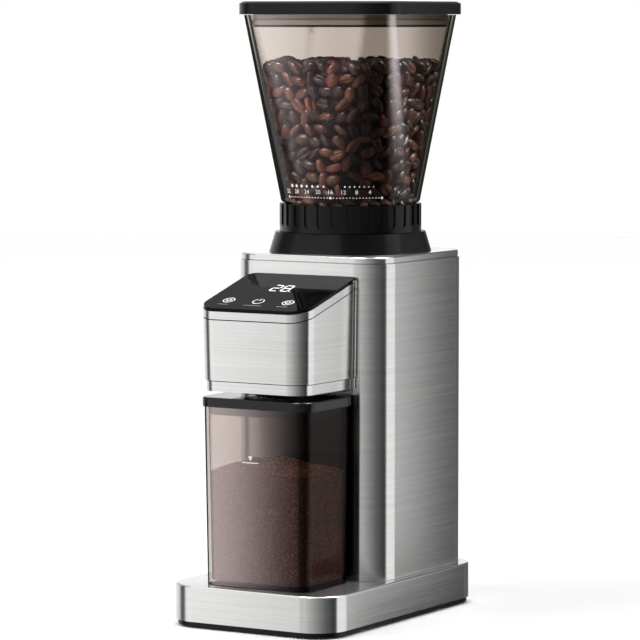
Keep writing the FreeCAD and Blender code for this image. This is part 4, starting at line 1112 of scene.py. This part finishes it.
@dataclass
class LooseGrounds:
    """The heap of ground coffee in the container, with single crumbs on it."""

    corner: float = 9.5 * MM
    wall: float = 2.8 * MM
    lean: float = 1.85 * MM
    crown: float = 8.0 * MM
    grain: float = 1.5 * MM
    spacing: float = 1.3 * MM
    roll: float = 3.0
    smallest: float = 0.5
    mound_start: float = 0.3 * MM
    steepest: float = 0.3
    side_rows: int = 16
    mound_rows: int = 15
    seed: int = 5

    def heap(self) -> bpy.types.Mesh:
        """Makes the heap: tapered sides up to a level, then a mound of uneven height.

        Returns:
            The heap.
        """
        low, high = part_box("ground_coffee")
        level = high.z - self.crown
        bin_low, bin_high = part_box("grounds_container")
        half_x, half_y = (high.x - low.x) / 2, (high.y - low.y) / 2
        inside = Plan((low.y + high.y) / 2, half_x, half_y, self.corner - self.wall, 24, 6)
        taper = self.lean / (bin_high.z - bin_low.z)
        rings = []
        for k in range(self.side_rows + 1):
            z = low.z + (level - low.z) * k / self.side_rows
            rings.append(inside.inset(taper * (level - z)).ring(z))
        shortest = min(half_x, half_y)
        for k in range(1, self.mound_rows):
            share = k / self.mound_rows
            ring = inside.inset(shortest * share).ring(level)
            rings.append([point + Vector((0.0, 0.0, self.rise(point, share))) for point in ring])
        return loft("grounds", rings)

    def rise(self, point: Vector, share: float) -> float:
        """Gives the mound's height.

        Args:
            point: A place in plan.
            share: How far in from the wall it is, up to 1 at the middle.

        Returns:
            The height above the level.
        """
        dome = math.sin(0.5 * math.pi * share) ** 1.3
        waves = 0.12 * math.sin(210.0 * point.x + 0.6) + 0.1 * math.sin(330.0 * point.y + 1.1)
        return self.crown * dome * (0.85 + waves)

    def crumb(self) -> bpy.types.Object:
        """Models one crumb, an uneven lump.

        Returns:
            The crumb, hidden and not a piece by itself.
        """
        work = bmesh.new()
        bmesh.ops.create_icosphere(work, subdivisions=1, radius=self.grain / 2)
        for index, vertex in enumerate(work.verts):
            vertex.co *= 0.75 + 0.4 * math.sin(7.0 * index) ** 2
        return bpy.data.objects.new("crumb", to_mesh(work, "crumb"))

    def build(self) -> None:
        """Adds the heap and the crumbs on its mound."""
        finish = FINISHES[Slot.GROUNDS]
        heap = self.heap()
        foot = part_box("ground_coffee")[1].z - self.crown + self.mound_start
        work = bmesh.new()
        work.from_mesh(heap)
        below = [f for f in work.faces if f.calc_center_median().z < foot or f.normal.z < self.steepest]
        bmesh.ops.delete(work, geom=below, context="FACES")
        crumb = self.crumb()
        # The crumbs take the paler finish of painted light on the heap's top.
        crumbs = scatter_pattern("crumb_scatter").run(to_mesh(work, "mound"), {
            "Shape": crumb, "Spacing": self.spacing, "Roll": self.roll, "Tilt": self.roll,
            "Smallest": self.smallest, "Seed": self.seed, "Finish": LIT_TOP_GROUNDS.material()})
        bpy.data.objects.remove(crumb)
        add_piece("grounds_heap", heap, "grounds_bin", finish, ("ground_coffee",))
        add_piece("grounds_crumbs", crumbs, "grounds_bin", LIT_TOP_GROUNDS)


class Sketch:
    """Flat shapes drawn in a plane, in metres, that become a thin layer of ink."""

    def __init__(self) -> None:
        """Starts an empty sketch."""
        self.work = bmesh.new()

    def polygon(self, points: list[Pair]) -> None:
        """Adds one filled outline."""
        self.work.faces.new([self.work.verts.new((x, y, 0.0)) for x, y in points])

    def disc(self, x: float, y: float, radius: float, sides: int = 20) -> None:
        """Adds a filled circle round a place, drawn with a number of sides."""
        turns = [2.0 * math.pi * k / sides for k in range(sides)]
        self.polygon([(x + radius * math.cos(t), y + radius * math.sin(t)) for t in turns])

    def arc(self, x: float, y: float, radius: float, width: float, start: float = 0.0,
            turn: float = 360.0) -> None:
        """Adds a band along a circle.

        Args:
            x: The circle's middle, across.
            y: The circle's middle, up.
            radius: The radius of the band's middle line.
            width: The band's width.
            start: Where it starts, in degrees.
            turn: How far it goes round, in degrees.
        """
        steps = max(int(turn / 12.0), 4)
        inner, outer = radius - width / 2, radius + width / 2
        rows = []
        for k in range(steps + 1):
            angle = math.radians(start + turn * k / steps)
            rows.append([self.work.verts.new((x + r * math.cos(angle), y + r * math.sin(angle), 0.0))
                         for r in (inner, outer)])
        if turn >= 360.0:
            self.work.verts.remove(rows[-1][0])
            self.work.verts.remove(rows[-1][1])
            rows[-1] = rows[0]
        for low, high in zip(rows, rows[1:]):
            self.work.faces.new((low[0], low[1], high[1], high[0]))

    def bar(self, x0: float, y0: float, x1: float, y1: float, width: float) -> None:
        """Adds a straight bar with pointed ends.

        Args:
            x0: Its start, across.
            y0: Its start, up.
            x1: Its end, across.
            y1: Its end, up.
            width: Its width.
        """
        along = Vector((x1 - x0, y1 - y0)).normalized() * width / 2
        side = Vector((-along.y, along.x))
        start, end = Vector((x0, y0)), Vector((x1, y1))
        corners = (start, start + along - side, end - along - side,
                   end, end - along + side, start + along + side)
        self.polygon([(c.x, c.y) for c in corners])

    def words(self, text: str, x: float, y: float, size: float) -> None:
        """Adds figures or letters, centred.

        Args:
            text: What is written.
            x: Its middle, across.
            y: Its middle, up.
            size: The size of the letters.
        """
        curve = bpy.data.curves.new("letters", "FONT")
        curve.body, curve.size, curve.align_x, curve.align_y = text, size, "CENTER", "CENTER"
        curve.resolution_u = 3
        carrier = new_object("letters", curve)
        flat = baked(carrier)
        flat.transform(Matrix.Translation((x, y, 0.0)))
        self.work.from_mesh(flat)
        bpy.data.objects.remove(carrier)
        bpy.data.meshes.remove(flat)

    def mesh(self, name: str, thickness: float) -> bpy.types.Mesh:
        """Gives the shapes a thickness.

        Args:
            name: The mesh's name.
            thickness: How thick the layer is.

        Returns:
            The closed layer, from height 0 up.
        """
        bmesh.ops.remove_doubles(self.work, verts=self.work.verts, dist=1e-7)
        bmesh.ops.recalc_face_normals(self.work, faces=self.work.faces)
        for face in self.work.faces:
            if face.normal.z < 0.0:
                face.normal_flip()
        raised = bmesh.ops.extrude_face_region(self.work, geom=self.work.faces[:], use_keep_orig=True)
        top = [v for v in raised["geom"] if isinstance(v, bmesh.types.BMVert)]
        bmesh.ops.translate(self.work, verts=top, vec=(0.0, 0.0, thickness))
        bmesh.ops.recalc_face_normals(self.work, faces=self.work.faces)
        return to_mesh(self.work, name)


@dataclass
class Printer:
    """Lays thin ink on the outside of a CAD piece by looking for its surface."""

    node: str
    clearance: float = 0.03 * MM
    reach: float = 300.0 * MM

    def __post_init__(self) -> None:
        """Reads the piece's surface."""
        mesh = frame["nodes"][self.node].data
        faces = [face.vertices for face in mesh.polygons]
        self.surface = BVHTree.FromPolygons([v.co for v in mesh.vertices], faces)

    def lay(self, mesh: bpy.types.Mesh, aim: Callable[[Vector], tuple[Vector, Vector]]) -> bpy.types.Mesh:
        """Lays a flat layer on the surface.

        Args:
            mesh: The layer, changed in place.
            aim: Gives a place outside the piece, and the direction towards it, for a point of the layer.

        Returns:
            The layer, lifted by the clearance.
        """
        for vertex in mesh.vertices:
            place, normal, _, _ = self.surface.ray_cast(*aim(vertex.co))
            vertex.co = place + normal * (vertex.co.z + self.clearance)
        return mesh

    def wrap(self, mesh: bpy.types.Mesh, centre_y: float, radius: float, base_z: float) -> bpy.types.Mesh:
        """Wraps a flat layer round an upright axis, its X counted to the right as seen from the front.

        Args:
            mesh: The layer, changed in place.
            centre_y: The axis's place.
            radius: The radius at which the layer keeps its width.
            base_z: The height of its zero.

        Returns:
            The layer.
        """
        def inwards(point: Vector) -> tuple[Vector, Vector]:
            """Aims at the axis from all round."""
            out = Vector((math.sin(point.x / radius), -math.cos(point.x / radius), 0.0))
            return Vector((0.0, centre_y, base_z + point.y)) + out * self.reach, -out
        return self.lay(mesh, inwards)

    def face_front(self, mesh: bpy.types.Mesh, base_z: float) -> bpy.types.Mesh:
        """Returns a flat layer, laid on a front wall with its zero at a height."""
        back = Vector((0.0, 1.0, 0.0))
        return self.lay(mesh, lambda point: (Vector((point.x, -self.reach, base_z + point.y)), back))

    def face_up(self, mesh: bpy.types.Mesh, base_y: float) -> bpy.types.Mesh:
        """Returns a flat layer, laid on a top face with its zero at a place from front to back."""
        down = Vector((0.0, 0.0, -1.0))
        return self.lay(mesh, lambda point: (Vector((point.x, base_y + point.y, 2.0 * self.reach)), down))


def dot_pattern() -> Pattern:
    """Builds a tree that sets dots in a row, with a larger dot at every so many.

    Returns:
        The tree.
    """
    pattern = Pattern("dot_row")
    graph = pattern.graph
    pattern.input("Start", "NodeSocketGeometry")
    count = pattern.input("Count", "NodeSocketInt")
    pitch = pattern.input("Pitch", "NodeSocketFloat")
    small = pattern.input("Small", "NodeSocketFloat")
    large = pattern.input("Large", "NodeSocketFloat")
    every = pattern.input("Every", "NodeSocketInt")
    finish = pattern.input("Finish", "NodeSocketMaterial")
    offset = graph.add("ShaderNodeCombineXYZ", {}, {0: pitch, 1: 0.0, 2: 0.0})
    row = graph.add("GeometryNodeMeshLine", {"mode": "OFFSET"}, {"Count": count, "Offset": offset})
    index = graph.add("GeometryNodeInputIndex", {}, {})
    rest = graph.add("ShaderNodeMath", {"operation": "MODULO"}, {0: index, 1: every})
    first = graph.add("ShaderNodeMath", {"operation": "LESS_THAN"}, {0: rest, 1: 0.5})
    size = small + (large - small) * first
    dot = graph.add("GeometryNodeMeshCircle", {"fill_type": "NGON"}, {"Vertices": 12, "Radius": 1.0})
    dots = graph.add("GeometryNodeInstanceOnPoints", {}, {"Points": row, "Instance": dot, "Scale": size})
    pattern.close(dots, finish)
    return pattern


@dataclass
class HopperScale:
    """The printed grind scale on the hopper's foot: dots, plain numbers and two marks of fineness."""

    last: int = 32
    numbered_every: int = 4
    large_every: int = 16
    zero_angle: float = 56.7
    step_angle: float = 2.65
    radius: float = 44.5 * MM
    dot_height: float = 5.2 * MM
    number_height: float = 8.7 * MM
    sign_height: float = 12.3 * MM
    small_dot: float = 0.38 * MM
    large_dot: float = 0.8 * MM
    figure: float = 3.7 * MM
    gauges: tuple[Triple, ...] = ((3.0, 2.9 * MM, 0.32 * MM), (18.0, 4.0 * MM, 0.62 * MM))
    gauge_dots: int = 7
    gauge_growth: float = 0.12
    thickness: float = 0.04 * MM

    def along(self, step: float) -> float:
        """Returns how far round the hopper a step of the scale lies, to the right of the front."""
        return math.radians(self.zero_angle - self.step_angle * step) * self.radius

    def build(self) -> None:
        """Draws the scale flat and wraps it round the hopper."""
        low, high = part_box("hopper")
        ring_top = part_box("adjustment_ring")[1].z
        empty = bpy.data.meshes.new("dot_start")
        dots = dot_pattern().run(empty, {
            "Count": self.last + 1, "Pitch": -math.radians(self.step_angle) * self.radius,
            "Small": self.small_dot, "Large": self.large_dot, "Every": self.large_every,
            "Finish": INK.material()})
        dots.transform(Matrix.Translation((self.along(0), self.dot_height, 0.0)))
        sketch = Sketch()
        sketch.work.from_mesh(dots)
        bpy.data.meshes.remove(dots)
        for number in range(self.numbered_every, self.last + 1, self.numbered_every):
            sketch.words(str(number), self.along(number), self.number_height, self.figure)
        for start, pitch, smallest in self.gauges:
            for k in range(self.gauge_dots):
                size = smallest * (1.0 + self.gauge_growth * k)
                sketch.disc(self.along(start) - pitch * k, self.sign_height, size)
        layer = sketch.mesh("hopper_scale", self.thickness)
        Printer("hopper").wrap(layer, (low.y + high.y) / 2, self.radius, ring_top)
        add_piece("hopper_scale", layer, "hopper", INK)


@dataclass
class BinMark:
    """The fill line printed on the container's front, with an arrow above it."""

    middle: float = -1.5 * MM
    length: float = 12.0 * MM
    line: float = 0.6 * MM
    height: float = 77.6 * MM
    arrow: float = 3.0 * MM
    arrow_gap: float = 1.0 * MM
    thickness: float = 0.04 * MM

    def build(self) -> None:
        """Draws the line and its arrow and lays them on the wall."""
        sketch = Sketch()
        sketch.bar(self.middle - self.length / 2, 0.0, self.middle + self.length / 2, 0.0, self.line)
        top = self.arrow_gap + self.arrow
        sketch.polygon([(self.middle - self.arrow / 2, top), (self.middle, self.arrow_gap),
                        (self.middle + self.arrow / 2, top)])
        layer = sketch.mesh("fill_mark", self.thickness)
        Printer("grounds_container").face_front(layer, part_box("grounds_container")[0].z + self.height)
        add_piece("fill_mark", layer, "grounds_bin", INK)


@dataclass
class PanelSigns:
    """What shows through the panel: two digits, three touch signs and a dash under each."""

    digits: str = "28"
    digit_width: float = 5.2 * MM
    digit_height: float = 9.6 * MM
    digit_pitch: float = 7.8 * MM
    segment: float = 1.15 * MM
    segment_gap: float = 0.12 * MM
    point_gap: float = 1.6 * MM
    point_radius: float = 0.6 * MM
    display_back: float = 24.6 * MM
    sign_middle: float = -2.4 * MM
    sign_pitch: float = 21.3 * MM
    sign_radius: float = 3.6 * MM
    sign_line: float = 0.6 * MM
    sign_back: float = 48.2 * MM
    dash_back: float = 55.4 * MM
    dash_lengths: Triple = (7.5 * MM, 13.0 * MM, 8.5 * MM)
    thickness: float = 0.04 * MM

    SEGMENTS = {"0": "abcdef", "1": "bc", "2": "abged", "3": "abgcd", "4": "fgbc", "5": "afgcd",
                "6": "afgedc", "7": "abc", "8": "abcdefg", "9": "abcdfg"}
    ENDS = {"a": (0, 2, 1, 2), "b": (1, 1, 1, 2), "c": (1, 0, 1, 1), "d": (0, 0, 1, 0), "e": (0, 0, 0, 1),
            "f": (0, 1, 0, 2), "g": (0, 1, 1, 1)}

    def digit(self, sketch: Sketch, figure: str, x: float) -> None:
        """Draws one seven-segment figure.

        Args:
            sketch: Where it is drawn.
            figure: The figure.
            x: Its left side.
        """
        wide, half = self.digit_width, self.digit_height / 2
        for name in self.SEGMENTS[figure]:
            x0, y0, x1, y1 = self.ENDS[name]
            gap = Vector((x1 - x0, y1 - y0)) * self.segment_gap
            sketch.bar(x + x0 * wide + gap.x, (y0 - 1) * half + gap.y,
                       x + x1 * wide - gap.x, (y1 - 1) * half - gap.y, self.segment)

    def build(self) -> None:
        """Draws the signs and lays them on the panel."""
        display, signs, dashes = Sketch(), Sketch(), Sketch()
        width = self.digit_width + self.digit_pitch * (len(self.digits) - 1)
        for place, figure in enumerate(self.digits):
            self.digit(display, figure, place * self.digit_pitch - width / 2)
        display.disc(width / 2 + self.point_gap, -self.digit_height / 2, self.point_radius, 12)
        for side, length in zip((-1, 0, 1), self.dash_lengths):
            x = self.sign_middle + side * self.sign_pitch
            if side:
                signs.arc(x, 0.0, self.sign_radius, self.sign_line)
                signs.arc(x, 0.0, 0.45 * self.sign_radius, self.sign_line)
            else:
                signs.arc(x, 0.0, self.sign_radius, self.sign_line, 120.0, 300.0)
                signs.bar(x, 0.2 * self.sign_radius, x, 1.25 * self.sign_radius, self.sign_line)
            dashes.bar(x - length / 2, 0.0, x + length / 2, 0.0, self.sign_line)
        self.lay("display_digits", display, self.display_back, SIGN)
        self.lay("touch_signs", signs, self.sign_back, SIGN)
        self.lay("sign_dashes", dashes, self.dash_back, FAINT_SIGN)

    def lay(self, name: str, sketch: Sketch, back: float, finish: PrintInk) -> None:
        """Lays one drawing on the panel.

        Args:
            name: The piece's name.
            sketch: The drawing.
            back: How far its zero lies in front of the panel's back edge.
            finish: Its ink.
        """
        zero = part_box("control_panel")[1].y - back
        layer = Printer("control_panel").face_up(sketch.mesh(name, self.thickness), zero)
        add_piece(name, layer, "body", finish)


@dataclass
class Casework:
    """The CAD pieces themselves, dressed by their slot in the record."""

    special: tuple[tuple[str, Finish], ...] = (
        ("grounds_container", BIN_WALL_FINISH), ("container_lid", GLOSS_BLACK), ("lid_seal", SILICONE))

    def dress(self) -> None:
        """Gives every CAD node its finish."""
        own = dict(self.special)
        for row in frame["record"]["subparts"]:
            finish = own.get(row["node"], FINISHES[Slot(row["material_slot"])])
            dress(frame["nodes"][row["node"]].data, finish)
            LOG.info("%s dressed as %s", row["node"], finish.name)


@dataclass(frozen=True)
class SoftBox:
    """A square lamp that shows only in mirrored light, or only in the rest."""

    name: str
    place: Triple
    width: float
    power: float
    mirrored: bool


@dataclass
class Studio:
    """White room with light cards, soft boxes, the floor and the camera.

    The walls' glow goes by the share of a turn round the object as seen from its front: 0 is straight
    behind it, 0.25 on the left, 0.5 in front and 0.75 on the right. Dark shelves hang before the front
    and the rear walls, between two heights.
    """

    camera_place: Triple = (1.18390, -1.96347, 0.37576)
    target: Triple = (-0.00264, -0.00160, 0.18589)
    lens: float = 205.52
    sensor: float = 36.0
    sight: float = 50.0
    floor_radius: float = 4.0
    ceiling: Colour = (1.9, 1.9, 1.9)
    ceiling_rise: Pair = (0.45, 0.9)
    front_rise: Pair = (0.3, 0.36)
    front_fall: Pair = (0.66, 0.74)
    rear_fall: Pair = (0.16, 0.24)
    shelf_rise: Pair = (0.16, 0.3)
    shelf_fall: Pair = (0.7, 0.85)
    front_dark: float = 0.94
    rear_dark: float = 0.6
    dark: Colour = (0.0, 0.0, 0.0)
    backdrop: Colour = (1.0, 1.0, 1.0)
    walls: Stops = (
        (0.0, 0.12), (0.04, 0.3), (0.086, 1.15), (0.236, 0.85), (0.272, 0.2), (0.3, 0.08), (0.322, 0.2),
        (0.35, 1.15), (0.414, 0.9), (0.5, 0.56), (0.586, 0.32), (0.667, 0.13), (0.744, 0.03), (0.775, 0.03),
        (0.792, 1.05), (0.889, 1.0), (0.914, 0.5), (0.945, 0.12), (1.0, 0.12))
    lamps: tuple[SoftBox, ...] = (
        SoftBox("key", (-1.3, -1.5, 1.5), 1.2, 26.0, False),
        SoftBox("left_spark", (-0.28, -0.57, 1.54), 0.7, 34.0, True),
        SoftBox("right_spark", (0.75, 0.3, 1.5), 0.7, 34.0, True))
    cards: tuple[LightCard, ...] = (
        LightCard("side_card", 1, 0.40, -0.073, 0.6, (
            (0.40, 1.1), (0.47, 1.0), (0.51, 0.88), (0.555, 0.8), (0.585, 0.72), (0.61, 0.62), (0.63, 0.46),
            (0.645, 0.12), (0.66, 0.03), (0.80, 0.05))),
        LightCard("low_side_card", 1, 0.40, -0.45, -0.073, (
            (0.40, 1.2), (0.47, 1.1), (0.485, 0.7), (0.50, 0.12), (0.566, 0.07), (0.611, 0.02),
            (0.645, 0.01), (0.80, 0.02))),
        LightCard("front_card", 0, -0.45, -0.15, 0.6, (
            (-0.40, 1.15), (-0.26, 1.1), (-0.215, 0.95), (-0.177, 0.84), (-0.13, 0.74), (-0.06, 0.6))))

    def aim(self, name: str, data: bpy.types.ID, place: Triple) -> bpy.types.Object:
        """Adds a camera or a lamp that looks at the target.

        Args:
            name: Its name.
            data: The camera or lamp.
            place: Where it stands.

        Returns:
            Its object.
        """
        made = new_object(name, data)
        made.location = place
        made.rotation_euler = (Vector(self.target) - Vector(place)).to_track_quat("-Z", "Y").to_euler()
        return made

    def camera(self) -> None:
        """Adds the camera where the photograph was taken from."""
        data = bpy.data.cameras.new("camera")
        data.lens, data.sensor_width, data.clip_end = self.lens, self.sensor, self.sight
        bpy.context.scene.camera = self.aim("camera", data, self.camera_place)

    def floor(self) -> None:
        """Adds a wide white floor that isn't mirrored in the object."""
        work = bmesh.new()
        bmesh.ops.create_circle(work, cap_ends=True, segments=64, radius=self.floor_radius)
        floor = new_object("floor", to_mesh(work, "floor"))
        dress(floor.data, PaleFloor("pale_floor"))
        floor.visible_glossy = False

    @staticmethod
    def card(finish: LightCard) -> None:
        """Adds an upright card near the object that shows only in mirrored light.

        Args:
            finish: The card's finish, which also gives its place.
        """
        start, end = finish.ends
        corners = [(start, finish.low), (end, finish.low), (end, finish.high), (start, finish.high)]
        if finish.axis == 0:
            points = [(along, finish.still, z) for along, z in corners]
        else:
            points = [(finish.still, along, z) for along, z in corners]
        work = bmesh.new()
        work.faces.new([work.verts.new(point) for point in points])
        card = new_object(finish.name, to_mesh(work, finish.name))
        dress(card.data, finish)
        card.visible_camera = card.visible_diffuse = card.visible_shadow = card.visible_transmission = False

    def world(self) -> None:
        """Surrounds the object with light that changes round it, and shows the camera plain white."""
        world = bpy.data.worlds.new("studio")
        bpy.context.scene.world = world
        world.use_nodes = True
        world.node_tree.nodes.clear()
        graph = Graph(world.node_tree)
        way = graph.add("ShaderNodeTexCoord", {}, {}, "Generated")
        x, y, z = graph.split(way)
        bearing = graph.add("ShaderNodeMath", {"operation": "ARCTAN2"}, {0: x, 1: 0.0 - y})
        share = 0.5 + bearing / (2.0 * math.pi)
        front = share.step(*self.front_rise) * (1.0 - share.step(*self.front_fall))
        behind = 1.0 - share.step(*self.rear_fall)
        shelf = z.step(*self.shelf_rise) * (1.0 - z.step(*self.shelf_fall))
        light = graph.mix(z.step(*self.ceiling_rise), graph.ramp(share, self.walls), self.ceiling)
        light = graph.mix((self.front_dark * front + self.rear_dark * behind) * shelf, light, self.dark)
        seen = graph.add("ShaderNodeLightPath", {}, {}, "Is Camera Ray")
        colour = graph.mix(seen, light, self.backdrop)
        back = graph.add("ShaderNodeBackground", {}, {"Color": colour})
        graph.add("ShaderNodeOutputWorld", {}, {"Surface": back})

    def lamp(self, box: SoftBox) -> None:
        """Hangs a soft box that points at the object.

        Args:
            box: The soft box.
        """
        data = bpy.data.lights.new(box.name, "AREA")
        data.shape, data.size, data.energy = "SQUARE", box.width, box.power
        lamp = self.aim(box.name, data, box.place)
        lamp.visible_glossy = box.mirrored
        lamp.visible_diffuse = not box.mirrored

    def build(self) -> None:
        """Sets the whole studio up."""
        self.camera()
        self.floor()
        for card in self.cards:
            self.card(card)
        self.world()
        for box in self.lamps:
            self.lamp(box)
        bpy.context.scene.view_settings.view_transform = "Standard"


def main() -> None:
    """Builds the object's looks in order."""
    logging.basicConfig(level=logging.INFO, format="%(name)s: %(message)s")
    Studio().build()
    Casework().dress()
    for assembly in (LooseBeans(), LidSleeve(), LooseGrounds(), HopperScale(), BinMark(), PanelSigns()):
        assembly.build()


if __name__ == "__main__":
    main()
